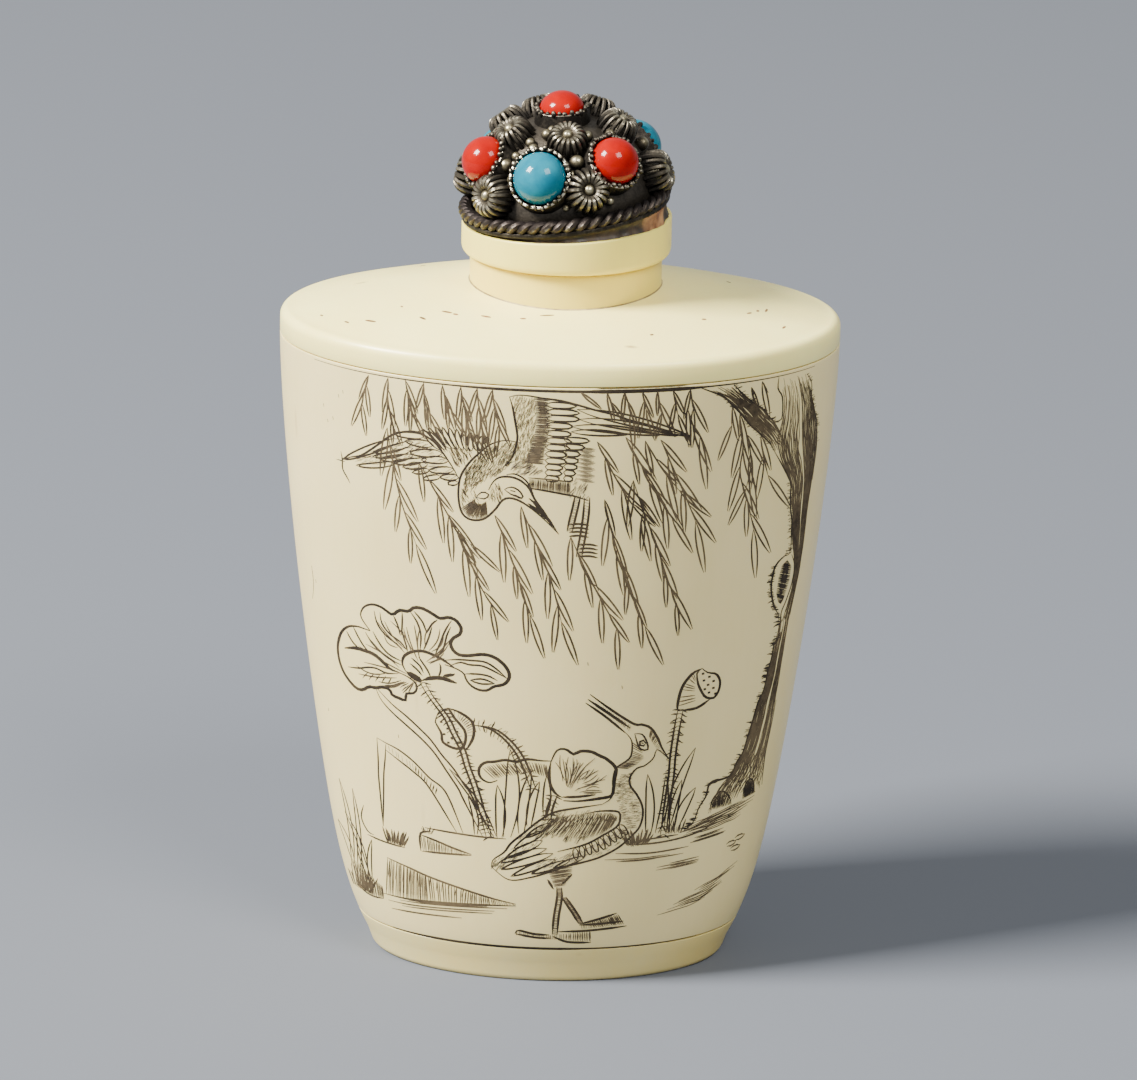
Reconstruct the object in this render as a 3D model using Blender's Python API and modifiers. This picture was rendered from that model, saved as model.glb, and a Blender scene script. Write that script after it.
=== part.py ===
"""Snuff bottle of engraved bone, with a silver stopper cap set with coral and turquoise.

Metres, +Z up. The origin is the centre of the underside, X runs along the wide
side of the oval, and the engraved front faces -Y.
"""

import math

import bmesh
import bpy
from mathutils import Matrix, Vector

# Oval body, which tapers from the shoulder to the foot
SHOULDER_WIDTH = 0.052
SHOULDER_DEPTH = 0.036
OUTLINE_HEIGHT = 0.0596
TAPER = 0.0074
TAPER_POWER = 1.4
HEEL_TUCK = 0.0025
HEEL_POWER = 12
BODY_WALL = 0.004

# Plates that close the body
FOOT_THICKNESS = 0.0035
FOOT_EDGE_RADIUS = 0.0006
PLATE_EDGE = 0.0023
PLATE_EDGE_RADIUS = 0.0009
PLATE_CROWN = 0.0033
GLUE_LINE = 0.0002

# Neck, with the mouth through it
NECK_RADIUS = 0.0089
NECK_HEIGHT = 0.00325
NECK_EDGE_RADIUS = 0.0002
NECK_SEAT_RISE = 0.0021
NECK_SHIFT = 0.0004
MOUTH_RADIUS = 0.0042

# Silver cap, which sits askew on its bed of glue. Its tilt is from the collar's top.
CAP_RADIUS = 0.0084
CAP_SKIRT = 0.0012
CAP_RISE = 0.0076
CAP_WALL = 0.0008
FLANGE_WIDTH = 0.0013
FLANGE_THICKNESS = 0.0004
CAP_TILT_LEFT = math.radians(4.3)
CAP_TILT_FORWARD = math.radians(2.0)
CAP_SHIFT = -0.00005
CAP_LOW_GAP = 0.0002
ROPE_RADIUS = 0.0006
ROPE_REACH = 0.0015
ROPE_HEIGHT = 0.0009
GLUE_REACH = 0.001
GLUE_GAP = 0.00015
FLANGE_RADIUS = CAP_RADIUS + FLANGE_WIDTH
ROPE_LINE_RADIUS = CAP_RADIUS + ROPE_REACH - ROPE_RADIUS
GLUE_RADIUS = CAP_RADIUS + GLUE_REACH

# Bone collar of the stopper, which slants down to the left and stands out a little from
# under the cap, with the plug that centres it in the mouth
COLLAR_LEDGE = 0.00132
COLLAR_HEIGHT = 0.00315
COLLAR_SLANT = math.radians(3.0)
COLLAR_EDGE_RADIUS = 0.0007
PLUG_LENGTH = 0.003
PLUG_CLEARANCE = 0.0003
REST_GAP = 0.0002
COLLAR_RADIUS = CAP_RADIUS + COLLAR_LEDGE

# Bezels and the cabochons that they hold
TURQUOISE_RADIUS = 0.00245
CORAL_RADIUS = 0.00225
TOP_CORAL_RADIUS = 0.00207
STONE_HEIGHT = 0.00275
TOP_CORAL_HEIGHT = 0.0022
BEZEL_WALL = 0.0004
BEZEL_HEIGHT = 0.001
BEZEL_ROOT = 0.0014
BEZEL_FLOOR = 0.0001
STONE_CLEARANCE = 0.00015
STONE_SIDE_SHARE = 0.2

# Rosettes and granules
LOWER_ROSETTE_RADIUS = 0.0019
LOWER_ROSETTE_HEIGHT = 0.0014
UPPER_ROSETTE_RADIUS = 0.0017
UPPER_ROSETTE_HEIGHT = 0.0014
ROSETTE_TOP_SHARE = 0.6
ROSETTE_ROOT = 0.0005
BEAD_RADIUS = 0.0006

# Where the maker set each ornament on the cap: azimuth from the front towards +X, and
# angle up the dome, both in degrees.
STONES = (
    ("coral_top", 48, 84.5),
    ("coral_left", -64.5, 35.5),
    ("turquoise_front", -13, 28.5),
    ("coral_right", 40, 31),
    ("turquoise_right", 128, 16.5),
    ("coral_back", 175, 27),
    ("turquoise_back", 219, 19),
)
LOWER_ROSETTES = ((-47, 16), (16, 18), (80, 12), (152, 12), (197, 12), (256, 16))
UPPER_ROSETTES = ((-57, 58), (11, 54), (80, 50), (131, 57), (200, 62), (245, 56))
GAP_BEADS = ((-44, 37), (14, 38), (92, 30), (151, 38), (198, 40), (-96, 34))

# Fineness of the curves
OVAL_SEGMENTS = 48
ROUND_SEGMENTS = 32
STONE_SEGMENTS = 14
ROSETTE_SEGMENTS = 8
WIRE_SEGMENTS = 6
BEAD_SEGMENTS = 6
BEAD_RINGS = 5
BODY_ROWS = 12
CAVITY_ROWS = 6
FOOT_ROWS = 3
ROW_EASE = 1.3
DOME_STEPS = 8
STONE_STEPS = 5
LARGE_EDGE_STEPS = 4
SMALL_EDGE_STEPS = 2
SHARP_EDGE = math.radians(35)
OVERSHOOT = 0.002
MERGE_DISTANCE = 0.000001

DEPTH_RATIO = SHOULDER_DEPTH / SHOULDER_WIDTH
CAVITY_RATIO = (SHOULDER_DEPTH / 2 - BODY_WALL) / (SHOULDER_WIDTH / 2 - BODY_WALL)

# Heights of the stack, from the foot up
BODY_BOTTOM = FOOT_THICKNESS + GLUE_LINE
BODY_TOP = OUTLINE_HEIGHT
PLATE_BOTTOM = BODY_TOP + GLUE_LINE
PLATE_RIM = PLATE_BOTTOM + PLATE_EDGE
NECK_SEAT = PLATE_RIM + NECK_SEAT_RISE
NECK_BOTTOM = NECK_SEAT + GLUE_LINE
NECK_TOP = NECK_BOTTOM + NECK_HEIGHT
COLLAR_BOTTOM = NECK_TOP + REST_GAP
COLLAR_TOP = COLLAR_BOTTOM + COLLAR_HEIGHT


def clear_scene():
    for obj in list(bpy.data.objects):
        bpy.data.objects.remove(obj)


def new_collection(name):
    collection = bpy.data.collections.new(name)
    bpy.context.scene.collection.children.link(collection)
    return collection


def new_material(name, colour, roughness, metallic=0.0):
    material = bpy.data.materials.new(name)
    material.use_nodes = True
    shader = material.node_tree.nodes["Principled BSDF"]
    shader.inputs["Base Color"].default_value = (*colour, 1.0)
    shader.inputs["Roughness"].default_value = roughness
    shader.inputs["Metallic"].default_value = metallic
    return material


def as_object(name, mesh, collection):
    obj = bpy.data.objects.new(name, mesh)
    collection.objects.link(obj)
    return obj


def as_cutter(obj):
    obj.hide_render = True
    obj.display_type = "WIRE"
    return obj


def turned(name, profile, segments, collection, closed=False, depth_ratio=1.0, shift=0.0):
    """Turn a profile, given as (radius, height) down its outer side, about Z."""
    count = len(profile)
    edges = [(i, i + 1) for i in range(count - 1)]
    if closed:
        edges.append((count - 1, 0))
    mesh = bpy.data.meshes.new(name)
    mesh.from_pydata([(radius, 0, height) for radius, height in profile], edges, [])
    obj = as_object(name, mesh, collection)
    screw = obj.modifiers.new("Turn", "SCREW")
    screw.steps = segments
    screw.render_steps = segments
    screw.use_merge_vertices = True
    screw.merge_threshold = MERGE_DISTANCE
    obj.scale = (1, depth_ratio, 1)
    obj.location.x = shift
    return obj


def solid_from_bmesh(name, build, collection, matrix):
    """Make one primitive with bmesh, and place it by matrix."""
    mesh = bpy.data.meshes.new(name)
    shape = bmesh.new()
    build(shape)
    shape.to_mesh(mesh)
    shape.free()
    obj = as_object(name, mesh, collection)
    obj.matrix_local = matrix
    return obj


def drum(name, radius, low, high, segments, collection, matrix, top_radius=None):
    """A cylinder or cone between two heights on the local Z axis."""

    def build(shape):
        bmesh.ops.create_cone(
            shape,
            cap_ends=True,
            segments=segments,
            radius1=radius,
            radius2=radius if top_radius is None else top_radius,
            depth=high - low,
            matrix=Matrix.Translation((0, 0, (high + low) / 2)),
        )

    return solid_from_bmesh(name, build, collection, matrix)


def bead(name, radius, collection, matrix):
    def build(shape):
        bmesh.ops.create_uvsphere(
            shape, u_segments=BEAD_SEGMENTS, v_segments=BEAD_RINGS, radius=radius
        )

    return solid_from_bmesh(name, build, collection, matrix)


def cut(target, cutter):
    boolean = target.modifiers.new("Cut " + cutter.name, "BOOLEAN")
    boolean.operation = "DIFFERENCE"
    boolean.object = as_cutter(cutter)


def combine(target, pieces, operation):
    """Join every object of a collection to the target, or cut them all from it."""
    boolean = target.modifiers.new(pieces.name, "BOOLEAN")
    boolean.operation = operation
    boolean.operand_type = "COLLECTION"
    boolean.collection = pieces
    for piece in pieces.objects:
        as_cutter(piece)


def half_width(height):
    """Half the width of the bottle's outline at a height above the foot."""
    drop = max((OUTLINE_HEIGHT - height) / OUTLINE_HEIGHT, 0.0)
    return SHOULDER_WIDTH / 2 - TAPER * drop**TAPER_POWER - HEEL_TUCK * drop**HEEL_POWER


def arc(centre_r, centre_z, radius, start, end, steps):
    """Points on an arc, with angles in degrees from straight out towards up."""
    points = []
    for step in range(steps + 1):
        angle = math.radians(start + (end - start) * step / steps)
        points.append((centre_r + radius * math.cos(angle), centre_z + radius * math.sin(angle)))
    return points


def spaced(low, high, steps, ease=1.0):
    """Heights from high down to low, closer together near low as ease grows."""
    return [low + (high - low) * (1 - step / steps) ** ease for step in range(steps + 1)]


def make_body(parts, cutters):
    side = [(half_width(z), z) for z in spaced(BODY_BOTTOM, BODY_TOP, BODY_ROWS, ROW_EASE)]
    profile = [(0, BODY_TOP)] + side + [(0, BODY_BOTTOM)]
    body = turned("body", profile, OVAL_SEGMENTS, parts, depth_ratio=DEPTH_RATIO)
    low = BODY_BOTTOM - OVERSHOOT
    high = BODY_TOP + OVERSHOOT
    rows = spaced(BODY_BOTTOM, BODY_TOP, CAVITY_ROWS, ROW_EASE)
    wall = [(half_width(z) - BODY_WALL, z) for z in rows]
    inside = [(0, high), (wall[0][0], high)] + wall + [(wall[-1][0], low), (0, low)]
    cavity = turned("cavity", inside, OVAL_SEGMENTS, cutters, depth_ratio=CAVITY_RATIO)
    cut(body, cavity)
    return body


def make_foot_plate(parts):
    top_edge = half_width(FOOT_THICKNESS)
    low_edge = half_width(FOOT_EDGE_RADIUS)
    side = [(half_width(z), z) for z in spaced(FOOT_EDGE_RADIUS, FOOT_THICKNESS, FOOT_ROWS)]
    edge_centre = low_edge - FOOT_EDGE_RADIUS
    rounding = arc(edge_centre, FOOT_EDGE_RADIUS, FOOT_EDGE_RADIUS, 0, -90, SMALL_EDGE_STEPS)
    profile = [(0, FOOT_THICKNESS), (top_edge, FOOT_THICKNESS)] + side[1:] + rounding[1:] + [(0, 0)]
    return turned("foot_plate", profile, OVAL_SEGMENTS, parts, depth_ratio=DEPTH_RATIO)


def crown_height(share):
    """Height of the shoulder plate's domed top at a share of its half width."""
    return PLATE_RIM + PLATE_CROWN * (1 - share**2)


def make_shoulder_plate(parts, cutters):
    rim = SHOULDER_WIDTH / 2
    inner = rim - PLATE_EDGE_RADIUS
    shares = [step / DOME_STEPS for step in range(DOME_STEPS + 1)]
    top = [(inner * share, crown_height(share)) for share in shares]
    edge_centre = PLATE_RIM - PLATE_EDGE_RADIUS
    edge = arc(inner, edge_centre, PLATE_EDGE_RADIUS, 90, 0, LARGE_EDGE_STEPS)
    profile = top + edge[1:] + [(rim, PLATE_BOTTOM), (0, PLATE_BOTTOM)]
    plate = turned("shoulder_plate", profile, OVAL_SEGMENTS, parts, depth_ratio=DEPTH_RATIO)
    top_of_cuts = PLATE_RIM + PLATE_CROWN + OVERSHOOT
    seat_radius = NECK_RADIUS + GLUE_LINE
    low = PLATE_BOTTOM - OVERSHOOT
    place = Matrix.Translation((NECK_SHIFT, 0, 0))
    seat = drum("neck_seat", seat_radius, NECK_SEAT, top_of_cuts, ROUND_SEGMENTS, cutters, place)
    mouth = drum("mouth_bore", MOUTH_RADIUS, low, top_of_cuts, ROUND_SEGMENTS, cutters, place)
    cut(plate, seat)
    cut(plate, mouth)
    return plate


def make_neck_ring(parts):
    outer = NECK_RADIUS - NECK_EDGE_RADIUS
    edge_centre = NECK_TOP - NECK_EDGE_RADIUS
    edge = arc(outer, edge_centre, NECK_EDGE_RADIUS, 90, 0, SMALL_EDGE_STEPS)
    profile = edge + [
        (NECK_RADIUS, NECK_BOTTOM),
        (MOUTH_RADIUS, NECK_BOTTOM),
        (MOUTH_RADIUS, NECK_TOP),
    ]
    return turned("neck_ring", profile, ROUND_SEGMENTS, parts, closed=True, shift=NECK_SHIFT)


def make_collar(parts, cutters):
    plug = MOUTH_RADIUS - PLUG_CLEARANCE
    uncut_top = COLLAR_TOP + OVERSHOOT
    low_r = COLLAR_RADIUS - COLLAR_EDGE_RADIUS
    low_z = COLLAR_BOTTOM + COLLAR_EDGE_RADIUS
    low_edge = arc(low_r, low_z, COLLAR_EDGE_RADIUS, 0, -90, LARGE_EDGE_STEPS)
    plug_end = COLLAR_BOTTOM - PLUG_LENGTH
    profile = [(0, uncut_top), (COLLAR_RADIUS, uncut_top)] + low_edge
    profile += [(plug, COLLAR_BOTTOM), (plug, plug_end), (0, plug_end)]
    collar = turned("stopper_collar", profile, ROUND_SEGMENTS, parts, shift=NECK_SHIFT)
    cut(collar, all_above("above_collar", 0, cutters, collar_top_matrix()))
    return collar


def all_above(name, height, cutters, matrix):
    """A cutter wider than the stopper, which starts at a height in a tilted frame."""
    radius = 2 * COLLAR_RADIUS
    return drum(name, radius, height, height + 2 * CAP_RISE, ROUND_SEGMENTS, cutters, matrix)


def collar_top_matrix():
    """Place of the collar's top face, which slants down to the left."""
    place = Matrix.Translation((NECK_SHIFT, 0, COLLAR_TOP))
    return place @ Matrix.Rotation(-COLLAR_SLANT, 4, "Y")


def cap_matrix():
    """Place of the cap's rim plane: tilted, and all but touching at its lowest point."""
    tilt = Matrix.Rotation(-CAP_TILT_LEFT, 4, "Y") @ Matrix.Rotation(CAP_TILT_FORWARD, 4, "X")
    axis = tilt @ Vector((0, 0, 1))
    drop = FLANGE_RADIUS * math.hypot(axis.x, axis.y)
    place = Matrix.Translation((CAP_SHIFT, 0, CAP_LOW_GAP + drop))
    return collar_top_matrix() @ place @ tilt


def cap_profile(inset):
    """The cap's dome and skirt, moved in by inset, from its crown to its skirt."""
    radius = CAP_RADIUS - inset
    rise = CAP_RISE - inset
    points = []
    for step in range(DOME_STEPS + 1):
        angle = math.pi / 2 * (1 - step / DOME_STEPS)
        points.append((radius * math.cos(angle), CAP_SKIRT + rise * math.sin(angle)))
    points[0] = (0, points[0][1])
    return points


def on_cap(azimuth, angle):
    """A frame on the cap's surface, with its Z axis straight out of it."""
    azimuth = math.radians(azimuth)
    angle = math.radians(angle)
    out = Vector((math.sin(azimuth), -math.cos(azimuth), 0))
    up = Vector((0, 0, 1))
    place = out * CAP_RADIUS * math.cos(angle) + up * (CAP_SKIRT + CAP_RISE * math.sin(angle))
    normal = out * (math.cos(angle) / CAP_RADIUS) + up * (math.sin(angle) / CAP_RISE)
    turn = normal.normalized().to_track_quat("Z", "Y").to_matrix().to_4x4()
    return Matrix.Translation(place) @ turn


def stone_places():
    """Name, frame, radius and height of each cabochon."""
    places = []
    for name, azimuth, angle in STONES:
        radius = CORAL_RADIUS if name.startswith("coral") else TURQUOISE_RADIUS
        height = STONE_HEIGHT
        if name == "coral_top":
            radius = TOP_CORAL_RADIUS
            height = TOP_CORAL_HEIGHT
        places.append((name, on_cap(azimuth, angle), radius, height))
    return places


def make_rosettes(label, places, radius, height, trim):
    """Low cones that stand for the petals of each rosette, each with its bead on top."""
    top_radius = ROSETTE_TOP_SHARE * radius
    for index, (azimuth, angle) in enumerate(places):
        frame = on_cap(azimuth, angle)
        name = f"{label}_rosette_{index}"
        drum(name, radius, -ROSETTE_ROOT, height, ROSETTE_SEGMENTS, trim, frame, top_radius)
        bead(name + "_bead", BEAD_RADIUS, trim, frame @ Matrix.Translation((0, 0, height)))


def make_cap_trim(trim, holder):
    """Rope wire, bezels, rosettes and granules, before they join the cap."""
    bpy.ops.mesh.primitive_torus_add(
        major_segments=ROUND_SEGMENTS,
        minor_segments=WIRE_SEGMENTS,
        major_radius=ROPE_LINE_RADIUS,
        minor_radius=ROPE_RADIUS,
        location=(0, 0, ROPE_HEIGHT),
    )
    rope = bpy.context.object
    rope.name = "rope_wire"
    for owner in list(rope.users_collection):
        owner.objects.unlink(rope)
    trim.objects.link(rope)
    for name, frame, radius, _ in stone_places():
        outer = radius + STONE_CLEARANCE + BEZEL_WALL
        drum("bezel_" + name, outer, -BEZEL_ROOT, BEZEL_HEIGHT, STONE_SEGMENTS, trim, frame)
    make_rosettes("lower", LOWER_ROSETTES, LOWER_ROSETTE_RADIUS, LOWER_ROSETTE_HEIGHT, trim)
    make_rosettes("upper", UPPER_ROSETTES, UPPER_ROSETTE_RADIUS, UPPER_ROSETTE_HEIGHT, trim)
    for index, (azimuth, angle) in enumerate(GAP_BEADS):
        bead(f"gap_bead_{index}", BEAD_RADIUS, trim, on_cap(azimuth, angle))
    for piece in trim.objects:
        piece.parent = holder


def make_cap(parts, cuts, trim, holder):
    make_cap_trim(trim, holder)
    flange = [
        (CAP_RADIUS, ROPE_HEIGHT),
        (ROPE_LINE_RADIUS, ROPE_HEIGHT),
        (ROPE_LINE_RADIUS, FLANGE_THICKNESS),
        (FLANGE_RADIUS, FLANGE_THICKNESS),
        (FLANGE_RADIUS, 0),
        (0, 0),
    ]
    cap = turned("stopper_dome", cap_profile(0) + flange, ROUND_SEGMENTS, parts)
    low = -OVERSHOOT
    hollow_side = [(CAP_RADIUS - CAP_WALL, low), (0, low)]
    turned("cap_hollow", cap_profile(CAP_WALL) + hollow_side, ROUND_SEGMENTS, cuts)
    for name, frame, radius, _ in stone_places():
        reach = BEZEL_HEIGHT + OVERSHOOT
        pocket_radius = radius + STONE_CLEARANCE
        drum("pocket_" + name, pocket_radius, BEZEL_FLOOR, reach, STONE_SEGMENTS, cuts, frame)
    cap.parent = holder
    for cutter in cuts.objects:
        cutter.parent = holder
    combine(cap, trim, "UNION")
    combine(cap, cuts, "DIFFERENCE")
    return cap


def make_stone(name, frame, radius, height, parts, holder):
    """A high cabochon: a flat base, a short straight side and a domed top."""
    base = BEZEL_FLOOR + STONE_CLEARANCE
    side = height * STONE_SIDE_SHARE
    profile = []
    for step in range(STONE_STEPS + 1):
        angle = math.pi / 2 * (1 - step / STONE_STEPS)
        profile.append((radius * math.cos(angle), base + side + (height - side) * math.sin(angle)))
    profile[0] = (0, profile[0][1])
    profile += [(radius, base), (0, base)]
    stone = turned(name, profile, STONE_SEGMENTS, parts)
    stone.parent = holder
    stone.matrix_local = frame
    return stone


def make_glue(parts, cutters):
    """The wedge of glue between the collar's top and the tilted cap."""
    place = collar_top_matrix()
    high = CAP_RISE
    glue = drum("stopper_glue", GLUE_RADIUS, GLUE_GAP, high, ROUND_SEGMENTS, parts, place)
    cut(glue, all_above("above_glue", -GLUE_GAP, cutters, cap_matrix()))
    return glue


def smooth(obj):
    """Shade smooth, with the sharper edges kept."""
    mesh = obj.data
    for polygon in mesh.polygons:
        polygon.use_smooth = True
    if mesh.polygons:
        mesh.set_sharp_from_angle(angle=SHARP_EDGE)


def main():
    clear_scene()
    parts = new_collection("snuff_bottle")
    cutters = new_collection("cutters")
    trim = new_collection("cap_trim")
    cap_cuts = new_collection("cap_cuts")
    bone = new_material("bone", (0.74, 0.66, 0.49), 0.42)
    silver = new_material("old_silver", (0.16, 0.13, 0.10), 0.38, 1.0)
    coral = new_material("coral", (0.72, 0.05, 0.012), 0.15)
    turquoise = new_material("turquoise", (0.07, 0.34, 0.45), 0.15)
    resin = new_material("old_glue", (0.36, 0.17, 0.07), 0.45)

    holder = bpy.data.objects.new("cap_place", None)
    parts.objects.link(holder)
    holder.matrix_world = cap_matrix()

    bone_pieces = (
        make_body(parts, cutters),
        make_foot_plate(parts),
        make_shoulder_plate(parts, cutters),
        make_neck_ring(parts),
        make_collar(parts, cutters),
    )
    for piece in bone_pieces:
        piece.data.materials.append(bone)
    make_cap(parts, cap_cuts, trim, holder).data.materials.append(silver)
    for name, frame, radius, height in stone_places():
        stone = make_stone(name, frame, radius, height, parts, holder)
        stone.data.materials.append(coral if name.startswith("coral") else turquoise)
    make_glue(parts, cutters).data.materials.append(resin)
    for obj in parts.objects:
        if obj.type == "MESH":
            smooth(obj)


main()
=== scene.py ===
# %% [markdown]
# An engraved snuff bottle, dressed from its frame.
# The bottle is a flattened oval tube of bone, closed by a domed shoulder plate and a foot
# plate. A herons and willow picture is cut into its front and inked. Its stopper is a bone
# collar under a silver cap that is set with coral and turquoise.
# The imported frame gives every solid its place. This lesson replaces the plain solids with
# smooth, finished meshes of the same size, and adds the relief that was too fine for them.
# The first cell loads the frame and keeps its box.

# %% Load the frame
import math
import random

import bmesh
import bpy
from mathutils import Matrix, Vector


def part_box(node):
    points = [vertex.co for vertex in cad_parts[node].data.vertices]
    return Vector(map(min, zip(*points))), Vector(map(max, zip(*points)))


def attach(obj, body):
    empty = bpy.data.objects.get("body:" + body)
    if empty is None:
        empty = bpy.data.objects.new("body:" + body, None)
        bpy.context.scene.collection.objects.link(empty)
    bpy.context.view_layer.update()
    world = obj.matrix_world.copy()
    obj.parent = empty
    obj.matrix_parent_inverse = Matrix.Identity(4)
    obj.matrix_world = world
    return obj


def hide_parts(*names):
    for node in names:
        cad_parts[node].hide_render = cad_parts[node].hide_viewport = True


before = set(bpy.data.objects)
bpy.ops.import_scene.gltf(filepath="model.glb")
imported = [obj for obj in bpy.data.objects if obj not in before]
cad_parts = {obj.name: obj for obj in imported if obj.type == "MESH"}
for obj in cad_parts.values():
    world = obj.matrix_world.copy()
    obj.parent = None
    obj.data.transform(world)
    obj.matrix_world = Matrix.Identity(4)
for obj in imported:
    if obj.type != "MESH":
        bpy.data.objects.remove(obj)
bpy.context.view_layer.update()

MM = 0.001
print("nodes:", ", ".join(sorted(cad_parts)))

# %% [markdown]
# It stands 0.8 m away with a long lens, which keeps the sides of a small object nearly
# parallel. A small roll about the line of sight leans the bottle, as the photograph does. A
# camera could also be aimed with a Track To constraint, but a matrix made from three
# directions shows what "right", "up" and "forward" mean, and keeps no live constraint.

# %% Camera
CAMERA_DISTANCE = 0.8
CAMERA_RISE = math.radians(17.1)
CAMERA_ROLL = math.radians(1.25)
CAMERA_AIM = Vector((1.2 * MM, 0, 39.75 * MM))
LENS = 270.8

forward = Vector((0, math.cos(CAMERA_RISE), -math.sin(CAMERA_RISE)))
level_right = Vector((1, 0, 0))
level_up = level_right.cross(forward)
right = math.cos(CAMERA_ROLL) * level_right + math.sin(CAMERA_ROLL) * level_up
up = right.cross(forward)
camera_data = bpy.data.cameras.new("camera")
camera_data.lens = LENS
camera = bpy.data.objects.new("camera", camera_data)
bpy.context.scene.collection.objects.link(camera)
turn = Matrix((right, up, -forward)).transposed().to_4x4()
camera.matrix_world = Matrix.Translation(CAMERA_AIM - forward * CAMERA_DISTANCE) @ turn
bpy.context.scene.camera = camera
print("camera at", [round(value, 3) for value in camera.location])

# %% [markdown]
# Geometry Nodes trees and materials are both node trees, so one pair of helpers builds both.
# put() adds a node, sets its properties, and fills its inputs: a socket given as an input is
# linked, and anything else becomes the input's default value. made() does the same and gives
# back the first output, and calc() is a math node in one line. Clicking trees together by
# hand gives the same result, but a script can be read.

# %% Helpers that build node trees
def fill(tree, node, place, value):
    """Link or set one input of a node."""
    socket = node.inputs[place]
    if isinstance(value, bpy.types.NodeSocket):
        tree.links.new(value, socket)
    else:
        socket.default_value = value


def fill_all(tree, node, inputs):
    """Link or set several inputs of a node, given by name or number."""
    for place, value in inputs.items():
        fill(tree, node, place, value)


def put(tree, kind, inputs=None, **settings):
    """Add a node to a tree, set its properties and fill its inputs."""
    node = tree.nodes.new(kind)
    for name, value in settings.items():
        setattr(node, name, value)
    fill_all(tree, node, inputs or {})
    return node


def made(tree, kind, inputs=None, **settings):
    """Add a node, and return its first output."""
    return put(tree, kind, inputs, **settings).outputs[0]


def calc(tree, operation, *values):
    """A math node, as its output socket."""
    return made(tree, "ShaderNodeMath", dict(enumerate(values)), operation=operation)


def times(tree, first, second):
    return calc(tree, "MULTIPLY", first, second)


def plus(tree, first, second):
    return calc(tree, "ADD", first, second)


def minus(tree, first, second):
    return calc(tree, "SUBTRACT", first, second)


def over(tree, first, second):
    return calc(tree, "DIVIDE", first, second)


def vector_calc(tree, operation, *values):
    """A vector math node, as its output socket."""
    return made(tree, "ShaderNodeVectorMath", dict(enumerate(values)), operation=operation)


def combine(tree, x=0.0, y=0.0, z=0.0):
    """A vector from its three parts."""
    return made(tree, "ShaderNodeCombineXYZ", {0: x, 1: y, 2: z})


def new_tree(name, kind, inputs, outputs):
    """A node group with named sockets, given as (name, type, default value)."""
    tree = bpy.data.node_groups.new(name, kind)
    for label, socket_type, value in inputs:
        socket = tree.interface.new_socket(label, in_out="INPUT", socket_type=socket_type)
        if value is not None:
            socket.default_value = value
    for label, socket_type in outputs:
        tree.interface.new_socket(label, in_out="OUTPUT", socket_type=socket_type)
    start = tree.nodes.new("NodeGroupInput").outputs
    end = tree.nodes.new("NodeGroupOutput")
    return tree, start, end


def named(tree, name, data_type="FLOAT"):
    """A named attribute, as its output socket."""
    node = put(tree, "GeometryNodeInputNamedAttribute", {"Name": name}, data_type=data_type)
    return node.outputs["Attribute"]


def keep(tree, geometry, name, value, data_type="FLOAT"):
    """Store a named attribute on the points of a geometry."""
    sockets = {"Geometry": geometry, "Name": name, "Value": value}
    return made(tree, "GeometryNodeStoreNamedAttribute", sockets, data_type=data_type)


GEOMETRY = "NodeSocketGeometry"
NUMBER = "NodeSocketFloat"
WHOLE = "NodeSocketInt"
MATERIAL = "NodeSocketMaterial"
VECTOR = "NodeSocketVector"
COLOUR = "NodeSocketColor"

# %% [markdown]
# Every Geometry Nodes tree below takes a geometry and a material, and ends in the same way:
# its instances are made real and given the material. geometry_tree() and show() are those two
# ends, and the other helpers are the steps that several trees share.

# %% Helpers for geometry
def geometry_tree(name, *inputs):
    """A Geometry Nodes group: a geometry, the inputs of its own, and a material."""
    sockets = (("Geometry", GEOMETRY, None), *inputs, ("Material", MATERIAL, None))
    return new_tree(name, "GeometryNodeTree", sockets, (("Geometry", GEOMETRY),))


def real(tree, geometry):
    return made(tree, "GeometryNodeRealizeInstances", {0: geometry})


def show(tree, start, end, geometry):
    """Send a geometry out of its tree, as real meshes with the tree's material."""
    sockets = {"Geometry": real(tree, geometry), "Material": start["Material"]}
    fill(tree, end, "Geometry", made(tree, "GeometryNodeSetMaterial", sockets))


def joined(tree, *geometries):
    node = tree.nodes.new("GeometryNodeJoinGeometry")
    for geometry in geometries:
        tree.links.new(geometry, node.inputs[0])
    return node.outputs[0]


def moved(tree, geometry, how, vector):
    """Move every point to its own Position, or by its own Offset."""
    return made(tree, "GeometryNodeSetPosition", {"Geometry": geometry, how: vector})


def copies(tree, points, instance, rotation, scale=(1.0, 1.0, 1.0)):
    """A copy of an instance on every point."""
    sockets = {"Points": points, "Instance": instance, "Rotation": rotation, "Scale": scale}
    return made(tree, "GeometryNodeInstanceOnPoints", sockets)


def scaled(tree, vector, factor):
    return made(tree, "ShaderNodeVectorMath", {0: vector, "Scale": factor}, operation="SCALE")


def circle(tree, corners, radius):
    return made(tree, "GeometryNodeCurvePrimitiveCircle", {"Resolution": corners, "Radius": radius})


def ball(tree, segments, rings, radius):
    sockets = {"Segments": segments, "Rings": rings, "Radius": radius}
    return made(tree, "GeometryNodeMeshUVSphere", sockets)


def swept(tree, curve, section, caps=True):
    """A section swept along a curve."""
    sockets = {"Curve": curve, "Profile Curve": section, "Fill Caps": caps}
    return made(tree, "GeometryNodeCurveToMesh", sockets)


def smooth_curves(tree, mesh):
    """Curves through the points of a mesh's edges."""
    curve = made(tree, "GeometryNodeMeshToCurve", {"Mesh": mesh})
    return made(tree, "GeometryNodeCurveSplineType", {"Curve": curve}, spline_type="CATMULL_ROM")


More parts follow.
